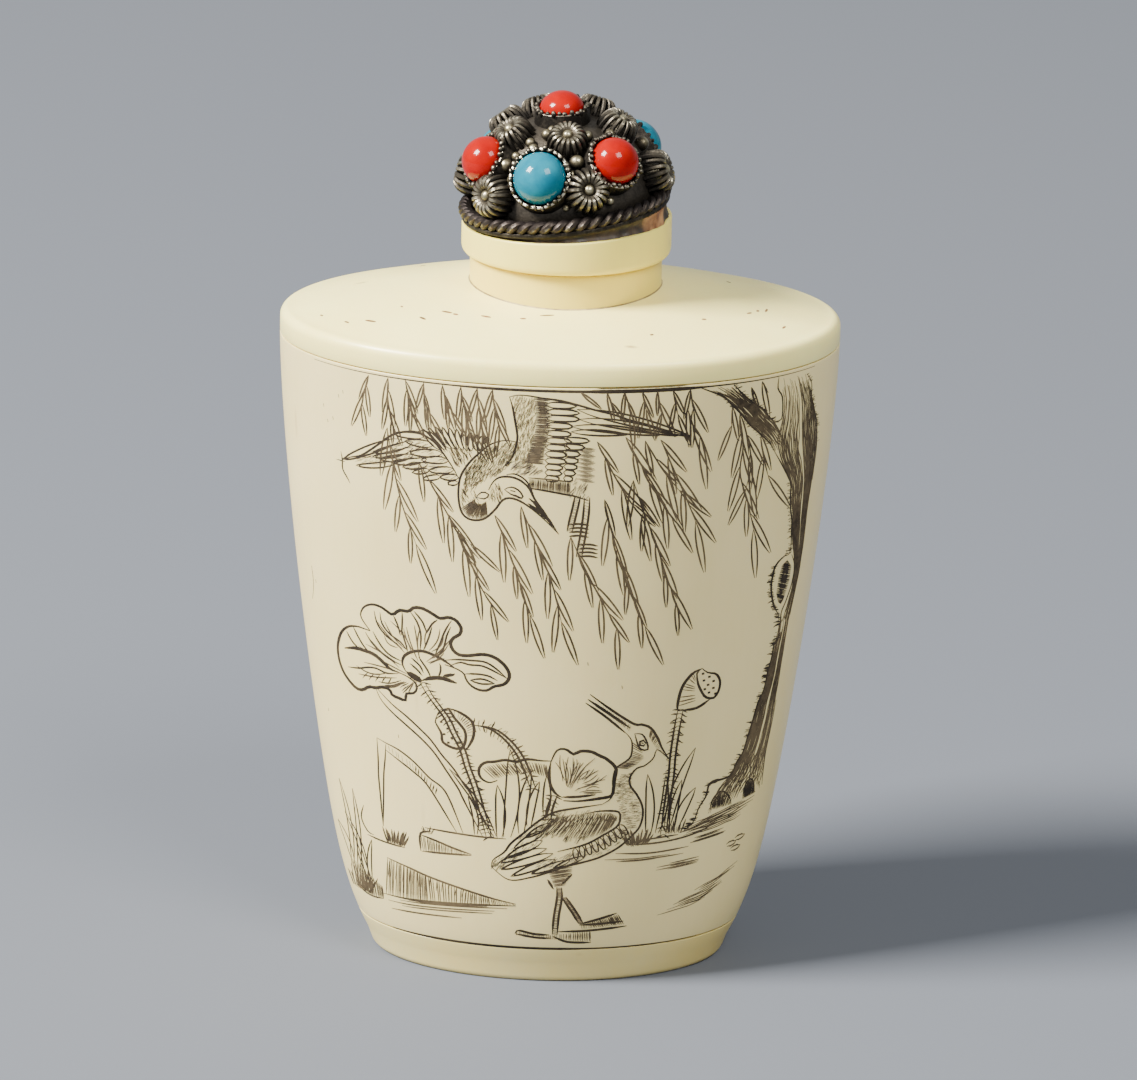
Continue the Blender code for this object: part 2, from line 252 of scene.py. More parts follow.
def spaced(tree, curve, spacing):
    """Points along a curve, and the parts of the curve's direction at each."""
    sockets = {"Curve": curve, "Length": spacing}
    node = put(tree, "GeometryNodeCurveToPoints", sockets, mode="LENGTH")
    way = put(tree, "ShaderNodeSeparateXYZ", {0: node.outputs["Tangent"]}).outputs
    return node.outputs["Points"], way


def random_between(tree, low, high, seed, data_type="FLOAT"):
    """A random value for every point."""
    low_socket, high_socket, output = {"FLOAT": (2, 3, 1), "FLOAT_VECTOR": (0, 1, 0)}[data_type]
    node = put(tree, "FunctionNodeRandomValue", data_type=data_type)
    fill_all(tree, node, {low_socket: low, high_socket: high, "Seed": seed})
    return node.outputs[output]


# %% [markdown]
# A tree works on an object through a Nodes modifier. grow() gives a seed mesh such a
# modifier, sets the tree's inputs by their socket identifiers before anything is evaluated,
# and keeps the evaluated result as a plain closed mesh, so that no modifier is left.
# finish_piece() hands a mesh to the frame: it rides on the one body, takes the material it
# is given, and hides the frame's solids that it stands in for.

# %% Run a tree, and hand a piece to the frame
SMOOTH_ANGLE = math.radians(40)
MERGE_DISTANCE = 1e-7


def link_object(name, data):
    obj = bpy.data.objects.new(name, data)
    bpy.context.scene.collection.objects.link(obj)
    return obj


def close_and_turn_out(mesh):
    """Merge doubles, and make every face point outwards."""
    shape = bmesh.new()
    shape.from_mesh(mesh)
    bmesh.ops.remove_doubles(shape, verts=shape.verts, dist=MERGE_DISTANCE)
    bmesh.ops.recalc_face_normals(shape, faces=shape.faces)
    shape.to_mesh(mesh)
    shape.free()


def grow(name, seed_mesh, tree, values):
    """Run a Geometry Nodes tree on a seed mesh, and return the result as a plain mesh."""
    seed = link_object(name + "_seed", seed_mesh)
    modifier = seed.modifiers.new("grow", "NODES")
    modifier.node_group = tree
    for item in tree.interface.items_tree:
        if item.item_type == "SOCKET" and item.in_out == "INPUT" and item.name in values:
            modifier[item.identifier] = values[item.name]
    graph = bpy.context.evaluated_depsgraph_get()
    mesh = bpy.data.meshes.new_from_object(seed.evaluated_get(graph))
    mesh.name = name
    bpy.data.objects.remove(seed)
    close_and_turn_out(mesh)
    return mesh


def write_numbers(mesh, name, values):
    """Write an attribute with one number for every point."""
    mesh.attributes.new(name, "FLOAT", "POINT").data.foreach_set("value", values)


def finish_piece(name, mesh, material, nodes=()):
    """Make the piece's object, put it on the one body, and hide the frame's solids it stands for."""
    mesh.materials.clear()
    mesh.materials.append(material)
    mesh.shade_smooth()
    mesh.set_sharp_from_angle(angle=SMOOTH_ANGLE)
    piece = link_object(name, mesh)
    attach(piece, "root")
    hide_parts(*nodes)
    mesh.calc_loop_triangles()
    print(f"{name}: {len(mesh.loop_triangles)} triangles")
    return piece


# %% [markdown]
# Old bone isn't one colour. Under a polish that hands have given it, it is cream where it is
# clean and yellower where grease has gone in, with faint streaks along the grain and short
# brown pores. The body, both plates, the neck and the collar all need this, so the effects
# are shader groups: bone_tone gives the colour, and bone_pores gives a mask for the pores
# and a height for their bump. Each material places the groups with its own values.
# An image of bone would be quicker, but noise has no seams and no limit to its detail.

# %% Shader groups for bone
def noise(tree, place, scale, detail=2.0, roughness=0.5, distortion=0.0):
    """A noise texture, as its factor."""
    sockets = {"Vector": place, "Scale": scale, "Detail": detail, "Roughness": roughness}
    sockets["Distortion"] = distortion
    return put(tree, "ShaderNodeTexNoise", sockets).outputs["Fac"]


def stretched(tree, place, scale):
    """A place stretched by three factors."""
    return put(tree, "ShaderNodeMapping", {"Vector": place, "Scale": scale}).outputs["Vector"]


def ramp(tree, value, low, high, to_low=0.0, to_high=1.0):
    """Map a value from one range to another, and clamp it."""
    ends = {"From Min": low, "From Max": high, "To Min": to_low, "To Max": to_high}
    return put(tree, "ShaderNodeMapRange", {"Value": value, **ends}).outputs["Result"]


def blend_colour(tree, factor, first, second):
    """Mix two colours, as an output socket."""
    node = put(tree, "ShaderNodeMix", data_type="RGBA")
    fill_all(tree, node, {0: factor, 6: first, 7: second})
    return node.outputs[2]


def bone_tone_group():
    tree, start, end = new_tree(
        "bone_tone",
        "ShaderNodeTree",
        (
            ("Place", VECTOR, None),
            ("Clean", COLOUR, (0.8, 0.7, 0.5, 1)),
            ("Yellowed", COLOUR, (0.7, 0.6, 0.35, 1)),
            ("Yellowing", NUMBER, 0.5),
        ),
        (("Colour", COLOUR),),
    )
    clouds = noise(tree, start["Place"], 90.0, 4.0, 0.55)
    grain = noise(tree, stretched(tree, start["Place"], (1500, 1500, 90)), 1.0, 3.0, 0.6)
    broad = ramp(tree, clouds, 0.35, 0.7)
    fine = ramp(tree, grain, 0.3, 0.75)
    amount = times(tree, plus(tree, broad, times(tree, fine, 0.35)), 0.74)
    amount = times(tree, amount, start["Yellowing"])
    colour = blend_colour(tree, amount, start["Clean"], start["Yellowed"])
    fill(tree, end, "Colour", colour)
    return tree


def bone_pores_group():
    tree, start, end = new_tree(
        "bone_pores",
        "ShaderNodeTree",
        (
            ("Place", VECTOR, None),
            ("Stretch", VECTOR, (1, 1, 0.2)),
            ("Amount", NUMBER, 0.5),
        ),
        (("Mask", NUMBER), ("Height", NUMBER)),
    )
    place = vector_calc(tree, "MULTIPLY", start["Place"], start["Stretch"])
    cells = put(tree, "ShaderNodeTexVoronoi", {"Vector": place, "Scale": 420.0})
    pits = ramp(tree, cells.outputs["Distance"], 0.05, 0.13, 1.0, 0.0)
    patches = ramp(tree, noise(tree, start["Place"], 130.0, 2.0), 0.56, 0.64)
    mask = times(tree, times(tree, pits, patches), start["Amount"])
    fine = noise(tree, stretched(tree, start["Place"], (1, 1, 0.15)), 2600.0, 3.0, 0.6)
    height = minus(tree, times(tree, fine, 0.25), mask)
    fill(tree, end, "Mask", mask)
    fill(tree, end, "Height", height)
    return tree


bone_tone = bone_tone_group()
bone_pores = bone_pores_group()
print("shader groups:", bone_tone.name, "and", bone_pores.name)

# %% [markdown]
# Each bone piece gets its own material from those groups. Light goes a little way into bone,
# so the shader has some subsurface scattering, with a radius of about a millimetre. A thin
# clear coat over a rougher base gives the soft shine of handled bone: one low roughness alone
# would look like plastic.

# %% Bone materials
def new_material(name):
    """A material with its Principled shader and an Object-coordinate socket."""
    material = bpy.data.materials.new(name)
    material.use_nodes = True
    tree = material.node_tree
    shader = tree.nodes["Principled BSDF"]
    place = tree.nodes.new("ShaderNodeTexCoord").outputs["Object"]
    return material, tree, shader, place


def group(tree, which, inputs):
    """Place a shader group in a material."""
    return put(tree, "ShaderNodeGroup", inputs, node_tree=which).outputs


def bump(tree, height, strength, distance):
    sockets = {"Height": height, "Strength": strength, "Distance": distance}
    return put(tree, "ShaderNodeBump", sockets).outputs["Normal"]


PORE_BROWN = (0.30, 0.17, 0.07, 1)
SUBSURFACE_DEPTH = 1.2 * MM


def bone_material(name, clean, yellowed, yellowing, pores=0.5, pore_stretch=(1, 1, 0.25)):
    """Polished old bone."""
    material, tree, shader, place = new_material(name)
    tones = {"Place": place, "Clean": clean, "Yellowed": yellowed, "Yellowing": yellowing}
    tone = group(tree, bone_tone, tones)["Colour"]
    pits = group(tree, bone_pores, {"Place": place, "Stretch": pore_stretch, "Amount": pores})
    colour = blend_colour(tree, pits["Mask"], tone, PORE_BROWN)
    looks = {
        "Base Color": colour,
        "Roughness": ramp(tree, noise(tree, place, 260.0, 3.0), 0.3, 0.7, 0.34, 0.46),
        "Normal": bump(tree, pits["Height"], 0.25, 0.05 * MM),
        "Subsurface Weight": 0.2,
        "Subsurface Radius": (1.0, 0.7, 0.4),
        "Subsurface Scale": SUBSURFACE_DEPTH,
        "Coat Weight": 0.25,
        "Coat Roughness": 0.22,
        "IOR": 1.54,
    }
    fill_all(tree, shader, looks)
    return material


CREAM = (0.78, 0.65, 0.31, 1)
# The plate's cream is a paler bone of its own, made paler still as painted light for its top, which faces
# the light.
PALE_CREAM_WITH_PAINTED_LIGHT = (0.99, 0.88, 0.34, 1)
WARM_YELLOW = (0.76, 0.56, 0.14, 1)
body_bone = bone_material("body_bone", CREAM, (0.69, 0.56, 0.22, 1), 0.5, 0.25, (1, 1, 0.12))
# Both colours of the shoulder plate are lightened as painted light for its top, beyond the bone's own tone.
plate_bone = bone_material("plate_bone", PALE_CREAM_WITH_PAINTED_LIGHT, (0.92, 0.77, 0.24, 1), 0.6, 0.8, (0.35, 1, 1))
foot_bone = bone_material("foot_bone", (0.66, 0.56, 0.25, 1), WARM_YELLOW, 0.6, 0.5, (0.3, 1, 1))
neck_bone = bone_material("neck_bone", (0.86, 0.70, 0.13, 1), WARM_YELLOW, 0.5, 0.3)
collar_bone = bone_material("collar_bone", (0.86, 0.74, 0.16, 1), WARM_YELLOW, 0.4, 0.3)
print("bone materials made")

# %% [markdown]
# Every bone piece is turned: its shape is one profile, carried round an upright axis. On a
# lathe the path is a circle, and here it is an oval. The Screw modifier turns circles only,
# so the tree turned_piece does it: a grid has one column for each step round and one row
# for each point of the profile. Each point of the grid looks up its row's half width, half
# depth and height, and moves to its place on that oval. Merging closes the seam and the poles.
# Where the profile says so, a dome is added by one formula, so a round hole can be bored
# through an oval dome and still meet it.

# %% A tree that turns a profile about an oval
def turned_piece_tree():
    tree, start, end = geometry_tree(
        "turned_piece",
        ("Steps Round", WHOLE, 96),
        ("Dome Height", NUMBER, 0.0),
        ("Dome Half Width", NUMBER, 1.0),
        ("Dome Half Depth", NUMBER, 1.0),
    )
    profile = start["Geometry"]
    rows = put(tree, "GeometryNodeAttributeDomainSize", {"Geometry": profile}).outputs["Point Count"]
    steps = start["Steps Round"]
    grid = made(tree, "GeometryNodeMeshGrid", {"Vertices X": plus(tree, steps, 1), "Vertices Y": rows})
    index = made(tree, "GeometryNodeInputIndex")
    row = calc(tree, "MODULO", index, rows)
    column = calc(tree, "FLOOR", over(tree, index, rows))
    angle = times(tree, over(tree, column, steps), math.tau)

    def sampled(value, data_type="FLOAT"):
        """What the profile says at the row of a grid point."""
        sockets = {"Geometry": profile, "Value": value, "Index": row}
        return made(tree, "GeometryNodeSampleIndex", sockets, data_type=data_type)

    def squared_share(distance, whole):
        return calc(tree, "POWER", over(tree, calc(tree, "ABSOLUTE", distance), whole), 2)

    corner = sampled(made(tree, "GeometryNodeInputPosition"), "FLOAT_VECTOR")
    sizes = put(tree, "ShaderNodeSeparateXYZ", {0: corner}).outputs
    x = plus(tree, times(tree, sizes["X"], calc(tree, "COSINE", angle)), sampled(named(tree, "centre")))
    y = times(tree, sizes["Y"], calc(tree, "SINE", angle))
    width_share = squared_share(x, start["Dome Half Width"])
    depth_share = squared_share(y, start["Dome Half Depth"])
    dome = times(tree, minus(tree, 1, plus(tree, width_share, depth_share)), start["Dome Height"])
    rise = times(tree, dome, sampled(named(tree, "domed")))
    placed = moved(tree, grid, "Position", combine(tree, x, y, plus(tree, sizes["Z"], rise)))
    sockets = {"Geometry": placed, "Distance": MERGE_DISTANCE}
    show(tree, start, end, made(tree, "GeometryNodeMergeByDistance", sockets))
    return tree


turned_piece = turned_piece_tree()
print("tree turned_piece:", len(turned_piece.nodes), "nodes")

# %% [markdown]
# A profile is a list of corners, each with its half width, half depth, height and how far it
# is rounded. bend() puts a smooth bend in place of each rounded corner, which is what a
# file and a polish leave on a real edge. turned() writes the points into a seed mesh,
# with what the tree looks up as attributes on its points.

# %% Profiles
BEND_STEPS = 5


def bend(corners, closed=False):
    """Profile points with each corner rounded by its own distance, the last value of it."""
    points = []
    count = len(corners)
    for number, corner in enumerate(corners):
        here = Vector(corner[:3])
        radius = corner[3] if len(corner) > 3 else 0
        if not radius or (not closed and number in (0, count - 1)):
            points.append(here)
            continue
        before = (Vector(corners[number - 1][:3]) - here).normalized() * radius + here
        after = (Vector(corners[(number + 1) % count][:3]) - here).normalized() * radius + here
        for step in range(BEND_STEPS + 1):
            share = step / BEND_STEPS
            first = before.lerp(here, share)
            second = here.lerp(after, share)
            points.append(first.lerp(second, share))
    if closed:
        points.append(points[0].copy())
    return points


def turned(name, points, material, steps=96, centre=0.0, centres=None, domed=None, dome=None):
    """Turn profile points (half width, half depth, height) into a closed mesh."""
    seed = bpy.data.meshes.new(name + "_profile")
    seed.from_pydata(points, [], [])
    write_numbers(seed, "centre", centres or [centre] * len(points))
    write_numbers(seed, "domed", domed or [0.0] * len(points))
    values = {"Steps Round": steps, "Material": material}
    if dome:
        values["Dome Height"], values["Dome Half Width"], values["Dome Half Depth"] = dome
    return grow(name, seed, turned_piece, values)


# %% [markdown]
# The body is an oval tube that tapers to the foot. Its outline comes from two powers of the
# drop below the shoulder: a gentle one for the taper, and a steep one that tucks the heel in.
# The inside keeps a true wall, because the mouth is open when the stopper is lifted off.
# Both plates meet the body at a hairline, which is left as a real gap with softened edges.

# %% Body, foot plate and shoulder plate
body_low, body_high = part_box("body")
foot_low, foot_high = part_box("foot_plate")
plate_low, plate_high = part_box("shoulder_plate")
HALF_WIDTH = body_high.x
DEPTH_RATIO = body_high.y / body_high.x
OUTLINE_HEIGHT = body_high.z
TAPER = 7.4 * MM
TAPER_POWER = 1.4
HEEL_TUCK = 2.5 * MM
HEEL_POWER = 12
BODY_WALL = 4.0 * MM
SEAM_EDGE = 0.10 * MM
SEAM_CLOSING = 0.07 * MM
OVAL_STEPS = 224
BODY_ROWS = 60


def half_width(height):
    """Half the width of the outline at a height above the foot."""
    drop = max((OUTLINE_HEIGHT - height) / OUTLINE_HEIGHT, 0.0)
    return HALF_WIDTH - TAPER * drop**TAPER_POWER - HEEL_TUCK * drop**HEEL_POWER


def oval(half, height, radius=0.0):
    """A profile corner on the outer oval."""
    return (half, half * DEPTH_RATIO, height, radius)


def heights(low, high, rows):
    """Heights from high down to low, evenly spaced, ends left out."""
    return [high + (low - high) * step / rows for step in range(1, rows)]


def body_mesh():
    low = body_low.z - SEAM_CLOSING
    high = body_high.z + SEAM_CLOSING
    corners = [oval(half_width(high), high, SEAM_EDGE)]
    corners += [oval(half_width(z), z) for z in heights(low, high, BODY_ROWS)]
    corners.append(oval(half_width(low), low, SEAM_EDGE))
    wall_low = half_width(low)
    corners.append((wall_low - BODY_WALL, wall_low * DEPTH_RATIO - BODY_WALL, low))
    for z in reversed(heights(low, high, BODY_ROWS // 3)):
        half = half_width(z)
        corners.append((half - BODY_WALL, half * DEPTH_RATIO - BODY_WALL, z))
    wall_high = half_width(high)
    corners.append((wall_high - BODY_WALL, wall_high * DEPTH_RATIO - BODY_WALL, high))
    return turned("bottle_body", bend(corners, closed=True), body_bone, OVAL_STEPS)


def foot_mesh():
    low_edge = 0.6 * MM
    top = foot_high.z
    corners = [(0, 0, top), oval(half_width(top), top, SEAM_EDGE)]
    corners += [oval(half_width(z), z) for z in heights(low_edge * 2, top, 5)]
    corners.append(oval(half_width(low_edge), 0, low_edge))
    corners += [oval(half_width(low_edge) - low_edge * 2, 0), (0, 0, 0)]
    return turned("bottle_foot", bend(corners), foot_bone, OVAL_STEPS)


MOUTH_RADIUS = 4.2 * MM
PLATE_EDGE_RADIUS = 0.9 * MM
PLATE_RIM = plate_low.z + 2.3 * MM
PLATE_CROWN = 3.3 * MM
neck_low, neck_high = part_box("neck_ring")
NECK_CENTRE = (neck_low.x + neck_high.x) / 2
NECK_RADIUS = (neck_high.x - neck_low.x) / 2
SEAT_RADIUS = NECK_RADIUS + 0.05 * MM
SEAT_HEIGHT = neck_low.z - 0.2 * MM
TOP_ROWS = 24


def plate_mesh():
    """The shoulder plate, whose rings change from the round mouth to the oval rim."""
    rim = plate_high.x
    inner = rim - PLATE_EDGE_RADIUS
    low = plate_low.z
    rings = [
        (MOUTH_RADIUS, MOUTH_RADIUS, low, NECK_CENTRE, 0),
        (MOUTH_RADIUS, MOUTH_RADIUS, SEAT_HEIGHT, NECK_CENTRE, 0),
        (SEAT_RADIUS, SEAT_RADIUS, SEAT_HEIGHT, NECK_CENTRE, 0),
    ]
    for row in range(TOP_ROWS + 1):
        share = row / TOP_ROWS
        across = SEAT_RADIUS + (inner - SEAT_RADIUS) * share
        along = SEAT_RADIUS + (inner * DEPTH_RATIO - SEAT_RADIUS) * share
        rings.append((across, along, PLATE_RIM, NECK_CENTRE * (1 - share), 1))
    for row in range(1, 2 * BEND_STEPS + 1):
        angle = math.pi / 2 * row / (2 * BEND_STEPS)
        across = inner + PLATE_EDGE_RADIUS * math.sin(angle)
        height = PLATE_RIM - PLATE_EDGE_RADIUS * (1 - math.cos(angle))
        rings.append((across, across * DEPTH_RATIO, height, 0, 0))
    rings.append((rim, rim * DEPTH_RATIO, low + SEAM_EDGE, 0, 0))
    rings.append((rim - SEAM_EDGE / 2, (rim - SEAM_EDGE / 2) * DEPTH_RATIO, low, 0, 0))
    rings.append(rings[0])
    return turned(
        "shoulder",
        [ring[:3] for ring in rings],
        plate_bone,
        OVAL_STEPS,
        centres=[ring[3] for ring in rings],
        domed=[float(ring[4]) for ring in rings],
        dome=(PLATE_CROWN, inner, inner * DEPTH_RATIO),
    )


finish_piece("bottle_body", body_mesh(), body_bone, ["body"])
finish_piece("bottle_foot", foot_mesh(), foot_bone, ["foot_plate"])
finish_piece("shoulder", plate_mesh(), plate_bone, ["shoulder_plate"])

# %% [markdown]
# The neck and the stopper's collar are round, so their half width and half depth are equal.
# The collar's lower edge is the one rounded with care, because the stopper is lifted by it.
# Its short plug reaches into the mouth, where it can be seen once the stopper is off.

# %% Neck and collar
collar_low, collar_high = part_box("stopper_collar")
COLLAR_RADIUS = (collar_high.x - collar_low.x) / 2
COLLAR_HEIGHT = 3.15 * MM
COLLAR_SLANT = math.radians(3.0)
PLUG_LENGTH = 3.0 * MM
PLUG_RADIUS = MOUTH_RADIUS - 0.3 * MM
COLLAR_BOTTOM = collar_low.z + PLUG_LENGTH
COLLAR_TOP = COLLAR_BOTTOM + COLLAR_HEIGHT
ROUND_STEPS = 128


def round_corner(radius, height, bend_radius=0.0):
    return (radius, radius, height, bend_radius)


def neck_mesh():
    corners = [
        round_corner(NECK_RADIUS, neck_high.z, 0.2 * MM),
        round_corner(NECK_RADIUS, neck_low.z, SEAM_EDGE),
        round_corner(MOUTH_RADIUS, neck_low.z),
        round_corner(MOUTH_RADIUS, neck_high.z, 0.2 * MM),
    ]
    return turned("neck", bend(corners, closed=True), neck_bone, ROUND_STEPS, NECK_CENTRE)


def collar_mesh():
    """The collar, turned level and then sheared so that its top slants down to the left."""
    corners = [
        round_corner(0, COLLAR_TOP),
        round_corner(COLLAR_RADIUS, COLLAR_TOP, 0.2 * MM),
        round_corner(COLLAR_RADIUS, COLLAR_BOTTOM, 0.75 * MM),
        round_corner(PLUG_RADIUS, COLLAR_BOTTOM, 0.1 * MM),
        round_corner(PLUG_RADIUS, collar_low.z, 0.2 * MM),
        round_corner(0, collar_low.z),
    ]
    mesh = turned("collar", bend(corners), collar_bone, ROUND_STEPS, NECK_CENTRE)
    for vertex in mesh.vertices:
        share = min(max((vertex.co.z - COLLAR_BOTTOM) / COLLAR_HEIGHT, 0), 1)
        vertex.co.z += share**2 * math.tan(COLLAR_SLANT) * (vertex.co.x - NECK_CENTRE)
    return mesh


finish_piece("neck", neck_mesh(), neck_bone, ["neck_ring"])
finish_piece("collar", collar_mesh(), collar_bone, ["stopper_collar"])

# %% [markdown]
# The picture on the front is cut with a point and rubbed with ink. It is far too fine for the
# solids and would need a very dense body to be modelled as grooves, so each line is a thin
# closed bead, sunk into the bone but for a few hundredths of a millimetre, which takes the
# ink's own material. Strokes are drawn flat, as (x, z) points in millimetres on a sheet held
# in front of the bottle. The tree cut_into_bone does the rest for all of them: it resamples
# each curve, works out the depth of the oval and the direction straight out of it at every
# point, and sweeps a section whose sides and crest are then set out along those directions.
# Projecting with Shrinkwrap would work too, but the formula needs no target and never misses.

# %% A tree that lays curves on the bone as cut lines
LINE_LIFT = 0.022 * MM
LINE_SINK = 0.02 * MM
LINE_STEP = 0.34 * MM
POINTED_SHARE = 0.22


def cut_into_bone_tree():
    tree, start, end = geometry_tree(
        "cut_into_bone",
        ("Line Width", NUMBER, 1.0),
        ("Step", NUMBER, LINE_STEP),
        ("Blunt End", NUMBER, 0.3),
    )
    position = made(tree, "GeometryNodeInputPosition")
    drawn = put(tree, "ShaderNodeSeparateXYZ", {0: position}).outputs
    x, z = drawn["X"], drawn["Z"]
    drop = calc(tree, "MAXIMUM", over(tree, minus(tree, OUTLINE_HEIGHT, z), OUTLINE_HEIGHT), 0.0)
    taper = times(tree, calc(tree, "POWER", drop, TAPER_POWER), TAPER)
    tuck = times(tree, calc(tree, "POWER", drop, HEEL_POWER), HEEL_TUCK)
    half = minus(tree, HALF_WIDTH, plus(tree, taper, tuck))
    across = over(tree, x, half)
    inside = calc(tree, "MAXIMUM", minus(tree, 1.0, times(tree, across, across)), 0.01)
    forward_share = calc(tree, "SQRT", inside)
    y = times(tree, times(tree, forward_share, half), -DEPTH_RATIO)
    taper_rate = TAPER * TAPER_POWER / OUTLINE_HEIGHT
    tuck_rate = HEEL_TUCK * HEEL_POWER / OUTLINE_HEIGHT
    taper_slope = times(tree, calc(tree, "POWER", drop, TAPER_POWER - 1), taper_rate)
    tuck_slope = times(tree, calc(tree, "POWER", drop, HEEL_POWER - 1), tuck_rate)
    lean = times(tree, plus(tree, taper_slope, tuck_slope), -1.0)
    outward = combine(tree, across, over(tree, forward_share, -DEPTH_RATIO), lean)

    sockets = {"Curve": start["Geometry"], "Length": start["Step"]}
    laid = made(tree, "GeometryNodeResampleCurve", sockets, mode="LENGTH")
    laid = keep(tree, laid, "outward", vector_calc(tree, "NORMALIZE", outward), "FLOAT_VECTOR")
    laid = moved(tree, laid, "Position", combine(tree, x, y, z))
    straight_out = named(tree, "outward", "FLOAT_VECTOR")
    tangent = made(tree, "GeometryNodeInputTangent")
    side = vector_calc(tree, "CROSS_PRODUCT", tangent, straight_out)
    laid = keep(tree, laid, "sideways", vector_calc(tree, "NORMALIZE", side), "FLOAT_VECTOR")
    laid = keep(tree, laid, "middle", position, "FLOAT_VECTOR")
    factor = put(tree, "GeometryNodeSplineParameter").outputs["Factor"]
    from_end = calc(tree, "MINIMUM", factor, minus(tree, 1.0, factor))
    point = ramp(tree, from_end, 0.0, POINTED_SHARE, start["Blunt End"], 1.0)
    width = times(tree, named(tree, "line_width"), times(tree, point, start["Line Width"]))
    laid = keep(tree, laid, "half_line", times(tree, width, 0.5 * MM))

    corner = made(tree, "GeometryNodeInputIndex")
    section = keep(tree, circle(tree, 3, LINE_LIFT), "reach", minus(tree, 1.0, corner))
    section = keep(tree, section, "crest", calc(tree, "COMPARE", corner, 1.0, 0.1))
    bead = swept(tree, laid, section)
    rise = minus(tree, times(tree, named(tree, "crest"), LINE_LIFT + LINE_SINK), LINE_SINK)
    reach = times(tree, named(tree, "reach"), named(tree, "half_line"))
    to_side = scaled(tree, named(tree, "sideways", "FLOAT_VECTOR"), reach)
    to_crest = scaled(tree, straight_out, rise)
    shift = vector_calc(tree, "ADD", to_side, to_crest)
    final = vector_calc(tree, "ADD", named(tree, "middle", "FLOAT_VECTOR"), shift)
    show(tree, start, end, moved(tree, bead, "Position", final))
    return tree


cut_into_bone = cut_into_bone_tree()
print("tree cut_into_bone:", len(cut_into_bone.nodes), "nodes")


def cut_lines(tree, start, end, curves):
    """End a tree by handing its curves to cut_into_bone."""
    lines = put(tree, "GeometryNodeGroup", node_tree=cut_into_bone)
    passed_on = {name: start[name] for name in ("Line Width", "Material")}
    fill_all(tree, lines, {"Geometry": curves, **passed_on})
    show(tree, start, end, lines.outputs[0])


# %% [markdown]
# The ink is nearly black where a line is deep, and browner where the line is shallow or has
# worn. One shader group gives its colour from noise over the whole picture, so that a line
# fades and darkens along its way, and both the deep and the fine lines use it.

# %% Ink
def ink_tone_group():
    tree, start, end = new_tree(
        "ink_tone",
        "ShaderNodeTree",
        (
            ("Place", VECTOR, None),
            ("Deep", COLOUR, (0.03, 0.02, 0.012, 1)),
            ("Worn", COLOUR, (0.16, 0.11, 0.06, 1)),
            ("Wear", NUMBER, 0.5),
        ),
        (("Colour", COLOUR),),
    )
    broad = noise(tree, start["Place"], 160.0, 2.0)
    fine = noise(tree, start["Place"], 1900.0, 3.0, 0.6)
    mixed = plus(tree, times(tree, broad, 0.6), times(tree, fine, 0.4))
    amount = times(tree, ramp(tree, mixed, 0.4, 0.62), start["Wear"])
    fill(tree, end, "Colour", blend_colour(tree, amount, start["Deep"], start["Worn"]))
    return tree


ink_tone = ink_tone_group()


def ink_material(name, deep, worn, wear):
    material, tree, shader, place = new_material(name)
    tone = group(tree, ink_tone, {"Place": place, "Deep": deep, "Worn": worn, "Wear": wear})
    looks = {"Base Color": tone["Colour"], "Roughness": 0.6, "Specular IOR Level": 0.25}
    fill_all(tree, shader, looks)
    return material


deep_ink = ink_material("deep_ink", (0.014, 0.010, 0.006, 1), (0.060, 0.042, 0.022, 1), 0.7)
fine_ink = ink_material("fine_ink", (0.030, 0.021, 0.011, 1), (0.130, 0.095, 0.050, 1), 0.8)
print("ink materials:", deep_ink.name, "and", fine_ink.name)

# %% [markdown]
# Most strokes are drawn one by one, so they go in as points. sheet() turns a list of strokes
# into one seed mesh of edges, and the tree drawn_lines turns its edges into curves, rounds
# them through their points with a Catmull-Rom spline and hands them to cut_into_bone. Small
# helpers make the strokes that follow others: between() lays strokes from one edge of a
# form to the other edge, and hatched() rules short strokes across it.

# %% Strokes drawn by hand
def drawn_lines_tree():
    tree, start, end = geometry_tree("drawn_lines", ("Line Width", NUMBER, 1.0))
    cut_lines(tree, start, end, smooth_curves(tree, start["Geometry"]))
    return tree


drawn_lines = drawn_lines_tree()


def sheet(name, strokes):
    """A seed mesh from strokes, each a width in mm and its (x, z) points in mm."""
    points, edges, widths = [], [], []
    for width, stroke in strokes:
        first = len(points)
        points += [(x * MM, 0, z * MM) for x, z in stroke]
        widths += [width] * len(stroke)
        edges += [(first + step, first + step + 1) for step in range(len(stroke) - 1)]
    mesh = bpy.data.meshes.new(name)
    mesh.from_pydata(points, edges, [])
    write_numbers(mesh, "line_width", widths)
    return mesh


def along(stroke, share):
    """The point at a share of a stroke's length in points."""
    place = share * (len(stroke) - 1)
    step = min(int(place), len(stroke) - 2)
    part = place - step
    (x0, z0), (x1, z1) = stroke[step], stroke[step + 1]
    return (x0 + (x1 - x0) * part, z0 + (z1 - z0) * part)


def between(first, second, count, width, steps=6, trim=0.0, wander=0.0, seed=1):
    """Strokes that run the way of two edges, spread from the one to the other."""
    chance = random.Random(seed)
    strokes = []
    for number in range(count):
        share = (number + 0.5) / count + chance.uniform(-0.3, 0.3) / count
        low = chance.uniform(0, trim)
        high = 1 - chance.uniform(0, trim)
        points = []
        for step in range(steps + 1):
            way = low + (high - low) * step / steps
            (x0, z0), (x1, z1) = along(first, way), along(second, way)
            part = share + chance.uniform(-wander, wander)
            points.append((x0 + (x1 - x0) * part, z0 + (z1 - z0) * part))
        strokes.append((width * chance.uniform(0.75, 1.25), points))
    return strokes


